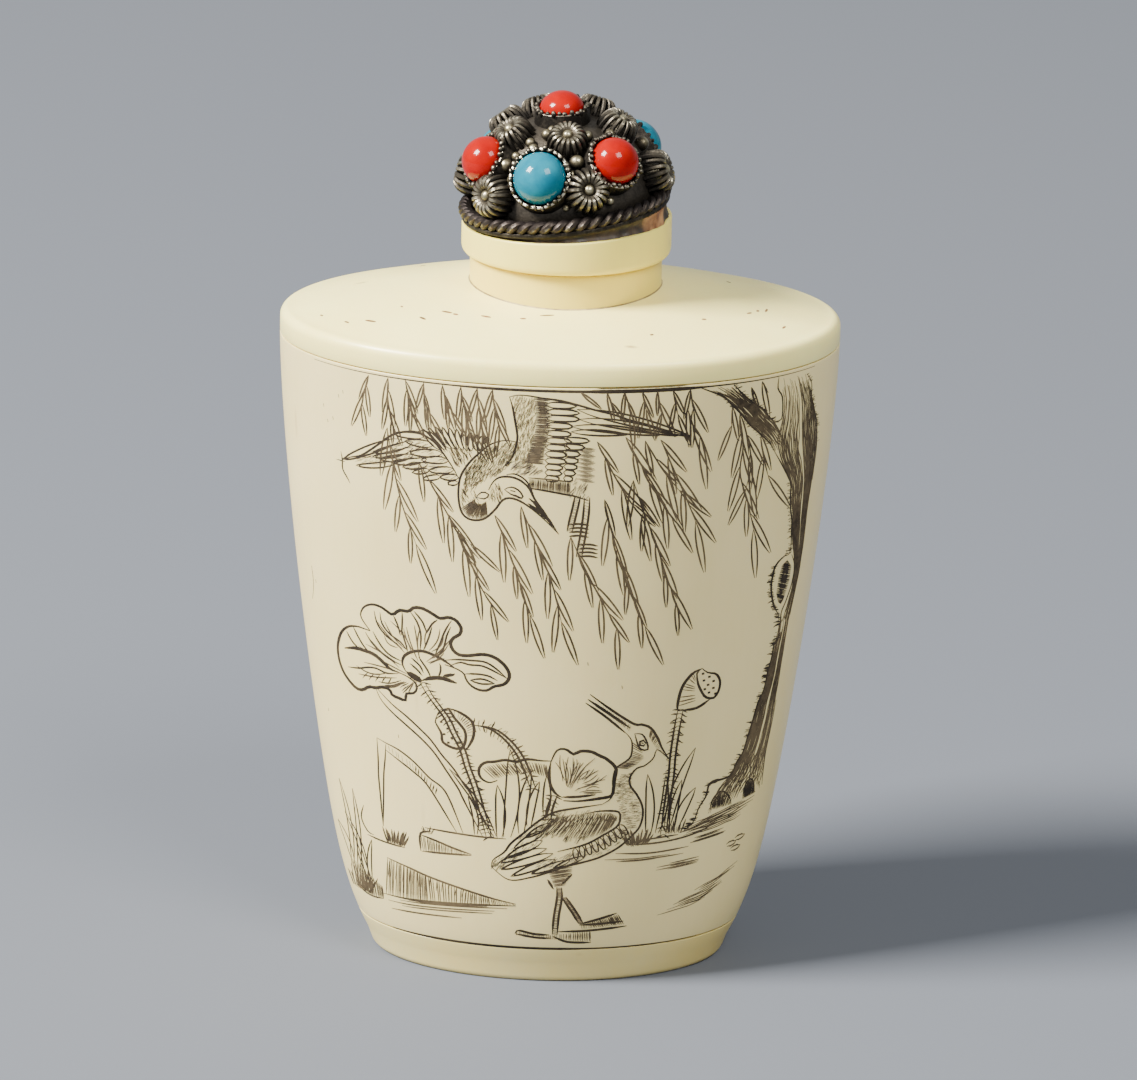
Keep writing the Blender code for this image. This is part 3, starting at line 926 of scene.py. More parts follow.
def hatched(first, second, count, width, slant=0.0, seed=1):
    """Short strokes ruled across a form, from a point of one edge to a point of the other."""
    chance = random.Random(seed)
    strokes = []
    for number in range(count):
        way = (number + chance.uniform(0.2, 0.8)) / count
        other = min(max(way + slant, 0), 1)
        ends = [along(first, way), along(second, other)]
        strokes.append((width * chance.uniform(0.7, 1.3), ends))
    return strokes


def offset(stroke, across, up=0.0):
    return [(x + across, z + up) for x, z in stroke]


def lines_piece(name, strokes, tree, material, values):
    """Grow lines on the bone from a sheet of strokes, as one piece."""
    mesh = grow(name, sheet(name + "_sheet", strokes), tree, {**values, "Material": material})
    return finish_piece(name, mesh, material)


def engrave(name, strokes, material, scale=1.5):
    """Cut a sheet of strokes into the bone as one piece."""
    return lines_piece(name, strokes, drawn_lines, material, {"Line Width": scale})


# %% [markdown]
# The willow hangs from the shoulder. A frond is a thin stem with long narrow leaves set
# alternately down it, each leaf two strokes that meet at its tip. That is a rule, so a tree
# grows it: the stems are drawn one by one, and willow_leaves spaces points down them, sets a
# leaf on each, lets it hang between the stem's direction and straight down with a random
# splay, and then passes stems and leaves on to be cut. Drawing each leaf by hand would give
# no more, and a new frond would take twenty more strokes.

# %% Willow
LEAF_SPACING = 1.5 * MM
LEAF_LENGTH = 4.6
LEAF_HALF_WIDTH = 0.46
LEAF_SPLAY = math.radians(13)
LEAF_LINE = 0.14
STEM_LINE = 0.12
WILLOW_LINE_SCALE = 2.4


def willow_tree():
    tree, start, end = geometry_tree(
        "willow_leaves",
        ("Spacing", NUMBER, LEAF_SPACING),
        ("Leaf Length", NUMBER, 4.0),
        ("Leaf Half Width", NUMBER, 0.2),
        ("Splay", NUMBER, 0.3),
        ("Line Width", NUMBER, 1.0),
        ("Seed", WHOLE, 1),
    )
    stems = smooth_curves(tree, start["Geometry"])
    points, way = spaced(tree, stems, start["Spacing"])
    hang = times(tree, calc(tree, "ARCTAN2", way["X"], times(tree, way["Z"], -1.0)), 0.8)
    index = made(tree, "GeometryNodeInputIndex")
    side = minus(tree, times(tree, calc(tree, "MODULO", index, 2.0), 2.0), 1.0)
    splay = times(tree, start["Splay"], random_between(tree, 0.35, 1.5, start["Seed"]))
    lean = plus(tree, hang, times(tree, splay, side))
    turn = combine(tree, y=times(tree, lean, -1.0))
    size = random_between(tree, 0.72, 1.15, plus(tree, start["Seed"], 1))
    length = times(tree, start["Leaf Length"], -MM)
    bulge = times(tree, start["Leaf Half Width"], MM)
    edges = []
    for sign in (-1.0, 1.0):
        out = times(tree, bulge, sign)
        middle = combine(tree, out, z=times(tree, length, 0.4))
        tip = combine(tree, times(tree, out, 0.15), z=length)
        sockets = {"Resolution": 8, "Start": (0, 0, 0), "Middle": middle, "End": tip}
        edges.append(made(tree, "GeometryNodeCurveQuadraticBezier", sockets))
    leaf = keep(tree, joined(tree, *edges), "line_width", LEAF_LINE)
    leaves = real(tree, copies(tree, points, leaf, turn, size))
    cut_lines(tree, start, end, joined(tree, stems, leaves))
    return tree


FRONDS = [
    [(-15.6, 54.5), (-15.0, 51.0), (-14.2, 47.5), (-12.8, 43.6)],
    [(-12.6, 51.6), (-11.2, 49.2), (-9.6, 46.4), (-7.8, 44.2)],
    [(-9.8, 46.8), (-8.3, 43.8), (-7.0, 40.6), (-5.8, 38.4)],
    [(-5.6, 47.2), (-4.4, 44.2), (-3.2, 40.8), (-2.2, 37.6)],
    [(-3.2, 48.2), (-1.9, 45.0), (-0.3, 41.0), (0.7, 37.0)],
    [(1.4, 45.4), (2.6, 42.6), (4.2, 39.4), (5.8, 36.4)],
    [(4.4, 49.0), (5.2, 45.6), (6.4, 42.0), (7.4, 39.0), (8.4, 36.4)],
    [(7.0, 50.8), (7.9, 48.0), (9.2, 44.6), (10.2, 41.4), (11.2, 38.6)],
    [(9.4, 54.6), (10.6, 51.8), (11.8, 49.0), (12.8, 46.4)],
    [(3.6, 54.6), (5.2, 51.4), (6.6, 49.0), (7.8, 47.2)],
    [(6.2, 55.0), (7.6, 52.4), (9.2, 49.6), (10.6, 47.0)],
    [(8.0, 54.6), (9.6, 51.8), (11.2, 49.6)],
    [(11.8, 57.4), (12.4, 55.6), (13.0, 54.6)],
    [(15.9, 57.2), (15.9, 55.4)],
    [(16.6, 56.4), (17.0, 53.4), (16.8, 50.6), (17.6, 47.6), (18.2, 44.8)],
    [(17.4, 54.2), (17.8, 51.4), (17.4, 49.0)],
    [(18.6, 54.0), (18.9, 52.0), (19.4, 49.9)],
    [(18.6, 59.2), (19.2, 58.0)],
]
SHORT_FRONDS = [
    [(-17.4, 59.2), (-17.8, 57.4), (-18.0, 56.4)],
    [(-15.6, 59.3), (-15.6, 57.0), (-15.2, 55.4)],
    [(-14.0, 59.3), (-13.6, 57.4), (-13.2, 56.2)],
    [(-12.3, 59.3), (-12.2, 57.8), (-11.8, 56.6)],
    [(-10.6, 59.3), (-10.2, 57.8), (-9.8, 57.0)],
    [(-8.9, 59.3), (-8.6, 57.6), (-8.0, 55.4)],
    [(-7.4, 59.3), (-7.2, 57.4), (-6.8, 55.2)],
    [(-6.0, 59.3), (-5.8, 57.6), (-5.4, 56.0)],
    [(2.0, 59.3), (2.4, 58.9)],
    [(4.4, 59.3), (4.8, 58.4)],
    [(6.0, 59.3), (6.6, 57.6)],
    [(7.6, 59.3), (8.0, 57.6)],
    [(9.0, 59.3), (9.4, 57.2)],
    [(10.4, 59.3), (10.9, 57.0)],
    [(12.0, 59.3), (12.3, 57.4)],
    [(17.6, 58.8), (17.9, 57.8)],
]


def willow(name, stems, leaf_length, spacing, seed):
    values = {
        "Spacing": spacing,
        "Leaf Length": leaf_length,
        "Leaf Half Width": LEAF_HALF_WIDTH * leaf_length / LEAF_LENGTH,
        "Splay": LEAF_SPLAY,
        "Line Width": WILLOW_LINE_SCALE,
        "Seed": seed,
    }
    return lines_piece(name, [(STEM_LINE, stem) for stem in stems], willow_leaves, fine_ink, values)


willow_leaves = willow_tree()
willow("willow_fronds", FRONDS, LEAF_LENGTH, LEAF_SPACING, 11)
willow("willow_top", SHORT_FRONDS, 3.3, 0.8 * MM, 23)

# %% [markdown]
# The flying heron crosses the willow with its neck folded into a loop. A feather is one
# closed stroke round a centre line, blunt at both ends, so feather() makes it from its root,
# its tip and its width. The wings are rows of such feathers, drawn one by one where they are
# long, and set out by row_of_feathers() where they are short and alike. Barbs are hatched
# closely on the arm of the near wing, and the body is shaded with scattered ticks.

# %% Flying heron
def feather(root, tip, width, bow=0.0, line=0.13, blunt=0.55):
    """A feather: one closed stroke from its root out to its rounded tip and back."""
    x0, z0 = root
    x1, z1 = tip
    length = math.hypot(x1 - x0, z1 - z0)
    nx, nz = (z1 - z0) / length, -(x1 - x0) / length
    points = []
    for side in (-1, 1):
        for step in range(9):
            way = step / 8 if side < 0 else 1 - step / 8
            swell = side * width / 2 * math.sin(math.pi * way**0.85) ** blunt
            reach = swell + bow * math.sin(math.pi * way)
            points.append((x0 + (x1 - x0) * way + nx * reach, z0 + (z1 - z0) * way + nz * reach))
    return (line, points)


def row_of_feathers(roots, tips, count, width, bow=0.0, line=0.11):
    """Feathers side by side, from one edge to another."""
    row = []
    for number in range(count):
        way = number / (count - 1)
        row.append(feather(along(roots, way), along(tips, way), width, bow, line))
    return row


def ticks(first, second, count, length, angle, width, seed):
    """Short shading strokes scattered between two edges, all near one angle."""
    chance = random.Random(seed)
    strokes = []
    for _ in range(count):
        way = chance.random()
        part = chance.random()
        (x0, z0), (x1, z1) = along(first, way), along(second, way)
        x, z = x0 + (x1 - x0) * part, z0 + (z1 - z0) * part
        turned_to = math.radians(angle + chance.uniform(-14, 14))
        reach = length * chance.uniform(0.5, 1.2) / 2
        dx, dz = math.cos(turned_to) * reach, math.sin(turned_to) * reach
        strokes.append((width * chance.uniform(0.7, 1.3), [(x - dx, z - dz), (x + dx, z + dz)]))
    return strokes


WING_EDGE = [
    (-19.75, 50.4), (-18.95, 50.9), (-18.0, 51.3), (-17.05, 52.1), (-16.1, 53.0), (-15.35, 53.7),
    (-14.7, 54.1), (-13.8, 54.4), (-12.9, 54.5), (-12.0, 54.2), (-11.2, 53.7), (-10.6, 53.0), (-10.0, 52.2),
    (-9.4, 51.3), (-8.9, 50.4),
]
NECK_LOOP = [
    (-3.3, 54.3), (-4.7, 54.5), (-6.05, 54.05), (-7.1, 53.1), (-8.0, 52.1), (-8.65, 51.0), (-8.9, 50.1),
    (-8.95, 48.7), (-8.7, 47.4), (-8.2, 46.75), (-7.4, 46.55), (-6.5, 46.8), (-5.6, 47.7), (-4.9, 48.7),
    (-4.2, 48.95), (-3.3, 48.7), (-2.2, 48.0), (-1.0, 46.95), (0.3, 45.6),
]
HEAD_AND_BILL = [
    (-6.2, 49.6), (-5.8, 50.4), (-5.2, 50.9), (-4.2, 51.0), (-3.3, 50.7), (-2.5, 50.0), (-2.0, 49.0),
    (-1.15, 47.8), (-0.3, 46.5), (0.3, 45.6),
]
CREST_LINE = [(-4.6, 51.2), (-3.8, 51.3), (-3.0, 50.9), (-2.5, 50.3), (-2.0, 49.2)]
EYE = [
    (-4.75, 49.75), (-4.3, 50.0), (-3.8, 49.95), (-3.3, 49.6), (-3.0, 49.0), (-3.6, 49.15), (-4.2, 49.35),
    (-4.75, 49.75),
]
WING_FRONT = [
    (-4.45, 58.7), (-4.15, 57.7), (-3.85, 56.2), (-3.65, 54.9), (-3.8, 53.9), (-4.15, 52.8), (-4.9, 51.9),
]
WING_TOP = [
    (-4.45, 58.7), (-3.6, 58.9), (-2.5, 58.85), (-1.5, 58.7), (0.2, 58.5), (1.8, 58.1), (3.5, 57.6),
    (5.0, 57.2), (6.6, 56.6), (8.1, 56.15), (9.6, 55.6), (10.85, 55.2), (12.1, 54.75),
]
NEAR_LEG = [(1.7, 49.4), (1.5, 48.2), (1.25, 47.0), (1.05, 45.9)]
FAR_LEG = [(2.55, 49.2), (2.5, 47.6), (2.3, 45.8), (2.05, 44.2), (1.95, 43.4)]

outlines = [
    (0.2, WING_EDGE), (0.2, NECK_LOOP), (0.2, HEAD_AND_BILL), (0.15, CREST_LINE), (0.16, EYE),
    (0.2, WING_FRONT), (0.19, WING_TOP), (0.2, NEAR_LEG), (0.2, FAR_LEG), (0.2, offset(NEAR_LEG, 0.5)),
    (0.2, offset(FAR_LEG, 0.5)), (0.34, [(-4.2, 49.7), (-3.75, 49.6)]),
    (0.2, [(-3.9, 49.3), (-3.2, 48.95)]), (0.3, [(-2.5, 49.0), (-1.9, 48.5), (-1.0, 47.4), (0.0, 46.1)]),
    (0.26, [(-2.6, 48.5), (-1.6, 47.8), (-0.8, 47.0)]),
    (0.14, [(-7.3, 48.8), (-6.9, 49.3), (-6.3, 49.3), (-6.2, 49.0), (-6.6, 48.7), (-7.3, 48.8)]),
    (0.18, [(-2.6, 50.0), (-1.0, 49.8), (0.7, 49.5), (1.8, 49.3), (2.9, 48.9)]),
    (0.15, [(-19.9, 51.2), (-19.75, 50.4), (-19.7, 49.5), (-19.2, 48.7), (-19.0, 48.3)]),
    (0.12, [(-20.3, 50.3), (-19.5, 50.3)]), (0.2, [(-15.1, 54.9), (-14.9, 54.1)]),
]
FAR_WING_FEATHERS = (
    ((-14.3, 53.6), (-19.7, 50.45), 0.8, 0.1), ((-12.2, 54.15), (-15.0, 54.0), 0.6, 0.0),
    ((-13.2, 53.5), (-16.9, 51.8), 0.65, -0.1), ((-11.3, 53.45), (-13.9, 53.45), 0.7, 0.0),
    ((-13.2, 52.9), (-16.9, 51.4), 0.6, -0.15), ((-10.5, 52.75), (-13.5, 52.4), 0.75, 0.0),
    ((-13.2, 52.2), (-16.2, 51.3), 0.65, -0.1), ((-9.9, 52.1), (-12.4, 51.85), 0.7, 0.05),
    ((-11.9, 52.0), (-15.2, 51.2), 0.6, -0.1), ((-14.6, 51.3), (-18.4, 50.2), 0.5, -0.1),
    ((-11.8, 51.5), (-14.1, 50.9), 0.6, 0.0), ((-9.4, 51.3), (-11.7, 50.9), 0.65, 0.0),
    ((-11.6, 51.0), (-13.2, 50.5), 0.5, 0.0), ((-8.95, 50.6), (-10.7, 50.4), 0.6, 0.0),
    ((-10.6, 50.5), (-12.3, 50.0), 0.5, 0.0), ((-8.95, 50.1), (-10.0, 49.85), 0.45, 0.0),
)
outlines += [feather(root, tip, width, bow, 0.17) for root, tip, width, bow in FAR_WING_FEATHERS]
QUILL_TIPS = [(-12.4, 54.9), (-11.2, 55.25), (-9.9, 55.3), (-8.6, 55.2), (-7.3, 54.9), (-6.3, 54.75)]
QUILL_ROOTS = [(-10.5, 53.0), (-9.7, 53.25), (-9.0, 53.3), (-8.2, 53.2), (-7.4, 53.3), (-6.6, 53.6)]
outlines += row_of_feathers(QUILL_ROOTS, QUILL_TIPS, 11, 0.5, -0.12, 0.16)
outlines += [
    (0.16, [(-12.9, 54.5), (-12.0, 54.7), (-11.0, 53.8), (-10.2, 52.9)]),
    (0.16, [(-11.9, 54.9), (-10.9, 54.1), (-10.0, 53.0)]),
]
PRIMARIES = (
    ((1.7, 57.7), (12.1, 54.75), 0.95, -0.25), ((1.9, 56.75), (10.9, 54.9), 0.8, -0.25),
    ((1.2, 56.05), (9.3, 55.05), 0.7, -0.2), ((1.2, 55.55), (6.3, 55.25), 0.55, -0.05),
)
outlines += [feather(root, tip, width, bow, 0.18, 0.75) for root, tip, width, bow in PRIMARIES]
ROW_TOPS = (58.35, 57.7, 57.1, 56.4, 55.65, 54.95, 54.3, 53.65, 53.0, 52.4, 51.85, 51.3)
ROW_ENDS = (1.6, 1.9, 2.0, 1.4, 1.3, 1.25, 1.1, 0.95, 0.85, 0.6, 0.45, 0.3)
for top, reach in zip(ROW_TOPS, ROW_ENDS):
    z = top - 0.3
    outlines.append(feather((-1.1, z + 0.03), (reach, z - 0.05), 0.58, 0.0, 0.17, 0.35))
SECOND_ENDS = (
    (55.0, 2.9), (54.35, 2.5), (53.7, 2.1), (53.05, 2.0), (52.45, 1.9), (51.85, 1.7), (51.3, 1.5),
)
for z, reach in SECOND_ENDS:
    outlines.append(feather((0.6, z - 0.25), (reach, z - 0.32), 0.55, 0.0, 0.17, 0.35))
for foot_x, foot_z, length in ((1.25, 45.4, 1.8), (2.1, 43.4, 1.8)):
    for toe in range(4):
        z = foot_z + 0.38 * toe
        outlines.append((0.2, [(foot_x, z), (foot_x + length * 0.5, z + 0.1), (foot_x + length, z - 0.05)]))
engrave("flying_heron_outline", outlines, deep_ink, 2.0)

ARM_LEFT = [(-2.2, 58.8), (-2.0, 57.4), (-2.0, 56.0), (-2.2, 54.8), (-2.6, 53.6), (-3.0, 52.4)]
ARM_RIGHT = [(-1.0, 58.7), (-0.8, 57.4), (-0.7, 56.0), (-0.9, 54.8), (-1.2, 53.6), (-1.3, 52.3)]
plumage = hatched(ARM_LEFT, ARM_RIGHT, 62, 0.12, seed=4)
plumage += hatched(ARM_LEFT[3:], ARM_RIGHT[3:], 14, 0.1, 0.02, seed=5)
plumage += hatched(offset(ARM_LEFT, 0.7), offset(ARM_RIGHT, 0.2), 20, 0.1, seed=6)
plumage += ticks(
    [(-4.2, 58.6), (-3.7, 56.0), (-3.9, 52.6)], [(-2.0, 58.6), (-2.0, 56.0), (-2.6, 52.4)], 330, 0.5, 75,
    0.075, 7,
)
plumage += ticks([(-4.6, 52.4), (-2.6, 52.6)], [(-3.6, 51.4), (-1.2, 51.4)], 60, 0.7, 35, 0.09, 8)
BODY_TOP_ROW = [(-8.3, 51.2), (-7.4, 52.6), (-6.4, 53.6), (-5.0, 54.3), (-3.6, 54.1)]
BODY_LOW_ROW = [(-8.6, 49.0), (-7.4, 49.9), (-6.3, 50.8), (-5.0, 51.4), (-4.2, 52.4)]
plumage += ticks(BODY_TOP_ROW, BODY_LOW_ROW, 560, 0.5, 62, 0.075, 9)
plumage += ticks([(-8.5, 51.4), (-7.2, 52.4)], [(-8.2, 49.0), (-6.4, 50.4)], 50, 0.5, 62, 0.1, 10)
plumage += ticks(
    [(-8.8, 49.4), (-8.6, 47.6), (-7.6, 46.7)], [(-7.4, 49.2), (-7.2, 48.4), (-6.6, 47.6)], 55, 0.7, 115,
    0.09, 11,
)
plumage += hatched(
    [(-8.7, 47.6), (-8.0, 46.8), (-7.0, 46.7), (-6.2, 47.1)],
    [(-7.6, 48.5), (-7.2, 48.2), (-6.8, 48.2), (-6.4, 48.5)], 26, 0.1, seed=12,
)
plumage += ticks([(-6.3, 48.9), (-5.2, 48.4)], [(-5.4, 50.4), (-4.8, 49.4)], 50, 0.6, 110, 0.1, 13)
plumage += ticks([(-10.2, 53.6), (-7.6, 53.4)], [(-9.4, 51.8), (-8.3, 52.0)], 60, 0.7, 120, 0.1, 14)
plumage += ticks([(-9.9, 53.4), (-8.0, 53.4)], [(-9.4, 52.7), (-8.3, 52.8)], 22, 0.7, 120, 0.1, 15)
plumage += hatched(
    [(-2.5, 50.9), (-0.6, 50.8), (1.3, 50.7)], [(-2.5, 49.9), (-0.6, 49.8), (1.3, 49.5)], 36, 0.1, 0.0,
    seed=16,
)
plumage += [(0.15, [(-2.6, 51.0), (-0.6, 50.9), (1.4, 50.7)])]
FAR_WING_TOP = [(-18.5, 50.9), (-16.0, 52.6), (-13.0, 53.9), (-10.6, 52.9)]
FAR_WING_LOW = [(-18.0, 50.4), (-15.0, 51.0), (-12.0, 50.6), (-9.2, 50.3)]
plumage += ticks(FAR_WING_TOP, FAR_WING_LOW, 190, 0.6, 25, 0.07, 19)
plumage += ticks([(1.3, 51.0), (2.8, 50.8)], [(1.3, 49.4), (2.8, 49.0)], 26, 0.6, 60, 0.11, 17)
for number in range(26):
    z = 54.0 - 0.13 * number
    plumage.append(
        (0.1, [(2.1 + 0.3 * math.sin(number * 2.1), z), (3.3 + 0.2 * math.sin(number * 1.3), z - 0.04)])
    )
for leg in (NEAR_LEG, FAR_LEG):
    plumage += hatched(leg, offset(leg, 0.5), 22, 0.13, 0.03, seed=18)
engrave("flying_heron_plumage", plumage, fine_ink, 1.8)

# %% [markdown]
# The willow's trunk stands at the right and leans with the side of the bottle, and a branch
# leaves it at the shoulder. Its shade is nothing but lines: long ones that run up the trunk,
# in a lit part and a dark part with a bare streak between them, and a rough fringe of bark
# along the edges, which bark() sets. part_way() gives the line that divides the two parts.
# The knot hole and the two arches under the root are filled with ink.

# %% Trunk, root and knot hole
BRANCH_LOW = [
    (12.8, 59.4), (15.0, 58.3), (15.85, 57.4), (16.65, 56.5), (17.6, 55.2), (18.75, 53.95), (19.5, 53.0),
    (20.0, 52.0),
]
BRANCH_TOP = [
    (16.0, 59.3), (16.9, 58.2), (17.9, 57.2), (18.75, 56.5), (19.3, 55.7), (19.9, 55.0), (20.4, 54.0),
    (21.0, 52.6),
]
NOTCH = [(19.9, 55.0), (20.5, 55.1), (20.6, 56.2), (20.5, 57.4), (20.1, 58.2), (20.15, 59.3)]
TRUNK_LEFT = [
    (20.0, 52.0), (20.7, 50.6), (21.3, 49.3), (21.6, 48.4), (21.6, 47.3), (21.65, 45.8), (21.8, 44.8),
    (21.8, 43.3), (21.8, 41.9), (21.6, 41.3),
]
TRUNK_RIGHT = [
    (22.8, 58.9), (23.25, 57.9), (23.3, 56.5), (23.5, 55.6), (23.75, 54.4), (23.9, 53.5), (23.95, 51.9),
    (23.9, 50.6), (23.8, 49.5), (23.65, 48.0),
]
RING_LEFT = [
    (21.6, 41.3), (21.2, 41.3), (20.6, 40.85), (20.3, 40.35), (20.15, 39.6), (20.05, 38.8), (20.1, 37.8),
    (20.35, 36.6), (20.8, 35.5),
]
RING_RIGHT = [(21.9, 41.2), (22.2, 39.9), (22.0, 38.2), (21.5, 36.6), (21.1, 35.6), (21.0, 34.2)]
KNOT_LEFT = [(21.5, 40.8), (21.0, 40.4), (20.7, 39.2), (20.55, 37.7), (20.75, 36.8), (21.0, 36.5)]
KNOT_RIGHT = [(21.5, 40.8), (21.9, 40.0), (21.75, 38.6), (21.35, 37.2), (21.2, 36.8), (21.0, 36.5)]
LOW_TRUNK_LEFT = [
    (20.8, 35.5), (20.9, 34.6), (20.85, 33.1), (20.5, 32.5), (20.3, 31.1), (20.0, 29.95), (19.7, 28.2),
    (19.1, 26.8), (18.7, 25.2), (18.3, 23.8), (17.9, 22.25), (17.3, 21.35), (16.85, 20.2), (15.95, 19.95),
    (14.85, 19.8), (14.5, 18.5), (13.85, 17.4), (13.4, 16.1), (12.5, 15.3),
]
LOW_TRUNK_RIGHT = [
    (22.0, 36.3), (21.8, 34.5), (21.6, 32.5), (21.3, 30.0), (21.1, 28.0), (20.9, 26.5), (20.5, 24.0),
    (20.1, 21.7), (19.9, 19.8), (19.8, 18.0),
]
SHADE_LEFT = [
    (20.3, 59.2), (20.7, 57.2), (20.6, 55.2), (20.2, 53.4), (20.4, 51.6), (21.2, 49.8), (21.7, 48.2),
    (21.75, 46.5), (21.9, 44.6), (21.9, 42.8), (22.1, 41.2), (22.2, 39.4), (22.0, 37.6), (21.6, 36.0),
    (21.1, 34.6),
]
SHADE_RIGHT = [
    (22.8, 58.9), (23.2, 57.2), (23.6, 55.2), (23.9, 53.2), (23.9, 51.4), (23.8, 49.6), (23.6, 48.0),
    (23.4, 46.3), (23.2, 44.5), (23.1, 42.8), (22.9, 41.0), (22.7, 39.2), (22.4, 37.4), (22.1, 35.8),
    (21.8, 34.2),
]
ROOT_LEFT = [
    (20.9, 35.2), (20.7, 33.0), (20.2, 30.6), (19.8, 28.4), (19.1, 26.4), (18.6, 24.4), (18.0, 22.4),
    (17.2, 21.0), (16.6, 20.0), (15.8, 19.2), (15.0, 18.0), (14.0, 16.4),
]
ROOT_RIGHT = [
    (22.0, 36.3), (21.8, 34.4), (21.5, 32.0), (21.2, 29.6), (20.9, 27.2), (20.6, 25.0), (20.3, 23.0),
    (20.0, 21.4), (19.9, 20.2), (19.8, 19.4), (19.6, 18.6), (19.6, 17.6),
]
ARCHES = (
    [(14.9, 17.0), (15.1, 17.9), (15.5, 18.5), (16.0, 18.7), (16.5, 18.3), (16.8, 17.7), (16.9, 17.1)],
    [(18.0, 17.3), (18.1, 18.3), (18.3, 18.9), (18.6, 19.2), (18.9, 18.9), (19.05, 18.3), (19.1, 17.5)],
)


def bark(edge, count, width, length, low=0.0, high=1.0, seed=1):
    """Short strokes that stand off an edge to the left, or with a negative length to the right."""
    chance = random.Random(seed)
    strokes = []
    for _ in range(count):
        x, z = along(edge, chance.uniform(low, high))
        reach = length * chance.uniform(0.4, 1.3)
        tip = (x - reach, z + abs(reach) * chance.uniform(-0.5, 0.7))
        strokes.append((width, [(x + reach * 0.5, z), tip]))
    return strokes


def part_way(first, second, share):
    """The line that lies at a share of the way between two edges."""
    ends = zip(first, second)
    return [(x0 + (x1 - x0) * share, z0 + (z1 - z0) * share) for (x0, z0), (x1, z1) in ends]


trunk = [
    (0.26, BRANCH_LOW), (0.24, BRANCH_TOP[:6]), (0.2, NOTCH), (0.26, TRUNK_LEFT), (0.3, RING_LEFT),
    (0.22, RING_RIGHT), (0.3, LOW_TRUNK_LEFT),
]
trunk += [(0.2, TRUNK_RIGHT), (0.2, LOW_TRUNK_RIGHT[5:])]
trunk += bark(BRANCH_LOW, 46, 0.2, 0.32, 0.1, 1.0, seed=1)
trunk += bark(BRANCH_TOP[:6], 50, 0.22, -0.34, 0.0, 1.0, seed=2)
trunk += bark(TRUNK_LEFT, 64, 0.2, 0.32, 0.3, 1.0, seed=3)
trunk += bark(RING_LEFT, 50, 0.24, 0.36, 0.3, 1.0, seed=4)
trunk += bark(LOW_TRUNK_LEFT, 130, 0.24, 0.4, 0.0, 1.0, seed=5)
trunk += bark(TRUNK_RIGHT, 50, 0.2, -0.22, 0.0, 0.7, seed=6)
trunk += hatched(KNOT_LEFT, KNOT_RIGHT, 56, 0.2, seed=7)
for arch in ARCHES:
    floor_line = [(arch[0][0], arch[0][1]), (arch[-1][0], arch[-1][1])]
    trunk += [(0.24, arch)] + hatched(arch, floor_line, 26, 0.14, seed=8)
trunk += between(
    part_way(SHADE_LEFT, SHADE_RIGHT, 0.8), SHADE_RIGHT, 9, 0.12, steps=14, trim=0.3, wander=0.04, seed=9,
)
engrave("trunk_outline", trunk, deep_ink)

shade = between(
    SHADE_LEFT, part_way(SHADE_LEFT, SHADE_RIGHT, 0.55), 21, 0.11, steps=20, trim=0.1, wander=0.04, seed=10,
)
shade += between(
    part_way(SHADE_LEFT, SHADE_RIGHT, 0.62), SHADE_RIGHT, 22, 0.12, steps=20, trim=0.06, wander=0.04,
    seed=11,
)
shade += between(BRANCH_LOW, BRANCH_TOP, 20, 0.11, steps=9, trim=0.12, wander=0.04, seed=12)
shade += between(
    ROOT_LEFT, part_way(ROOT_LEFT, ROOT_RIGHT, 0.55), 18, 0.11, steps=18, trim=0.1, wander=0.04, seed=13,
)
shade += between(
    part_way(ROOT_LEFT, ROOT_RIGHT, 0.65), ROOT_RIGHT, 12, 0.11, steps=18, trim=0.1, wander=0.04, seed=14,
)
shade += between(ROOT_LEFT[6:], ROOT_RIGHT[6:], 24, 0.11, steps=10, trim=0.2, wander=0.04, seed=15)
engrave("trunk_shade", shade, fine_ink, 2.1)

# %% [markdown]
# The lotus has two open leaves and two seed pods. The rims, the lobes and the strong veins of
# the big leaf are drawn one by one, because they fork and die away where a rule would not put
# them. veins() fans the fine veins of both leaves out from their hearts, bowed and broken off
# by chance. The folded leaf and the cones of the pods are hatched across.

# %% Lotus leaves and pods
BIG_LEAF = [
    (-16.95, 34.1), (-17.45, 34.15), (-18.2, 34.2), (-19.05, 33.9), (-19.7, 33.05), (-20.0, 31.65),
    (-19.9, 30.4), (-19.5, 29.25), (-18.9, 28.45), (-18.2, 27.9), (-17.6, 27.9), (-17.0, 28.4),
    (-16.4, 28.45), (-15.7, 28.7), (-15.05, 28.6), (-14.8, 28.1), (-14.25, 27.95), (-13.55, 27.85),
    (-13.5, 28.5), (-12.8, 28.7), (-12.5, 29.25), (-12.7, 29.8), (-13.4, 30.25), (-14.0, 30.45),
]
LEAF_LOBES = [
    (-16.95, 34.1), (-17.75, 35.1), (-17.85, 35.7), (-17.5, 36.4), (-16.75, 36.8), (-15.9, 36.7),
    (-14.9, 36.2), (-14.25, 36.75), (-13.4, 36.8), (-12.9, 37.25), (-12.1, 37.3), (-11.25, 36.95),
    (-10.45, 36.55), (-9.65, 36.75), (-8.95, 36.5), (-8.5, 35.85), (-8.6, 35.2), (-9.15, 34.8),
    (-9.45, 34.2), (-9.2, 33.55), (-8.65, 33.15), (-7.8, 33.15), (-6.5, 33.4), (-5.5, 33.25), (-4.65, 32.7),
    (-4.05, 31.9), (-4.0, 31.15), (-4.5, 30.55), (-5.35, 30.3), (-6.0, 29.85), (-6.8, 29.85), (-7.5, 30.2),
    (-7.95, 30.75), (-8.2, 31.35), (-8.95, 31.75), (-9.95, 32.0),
]
LEAF_CROWN = [
    (-13.55, 30.75), (-13.9, 31.5), (-13.7, 32.3), (-12.95, 32.85), (-11.95, 33.05), (-10.95, 32.8),
    (-10.1, 32.45), (-8.95, 31.75),
]
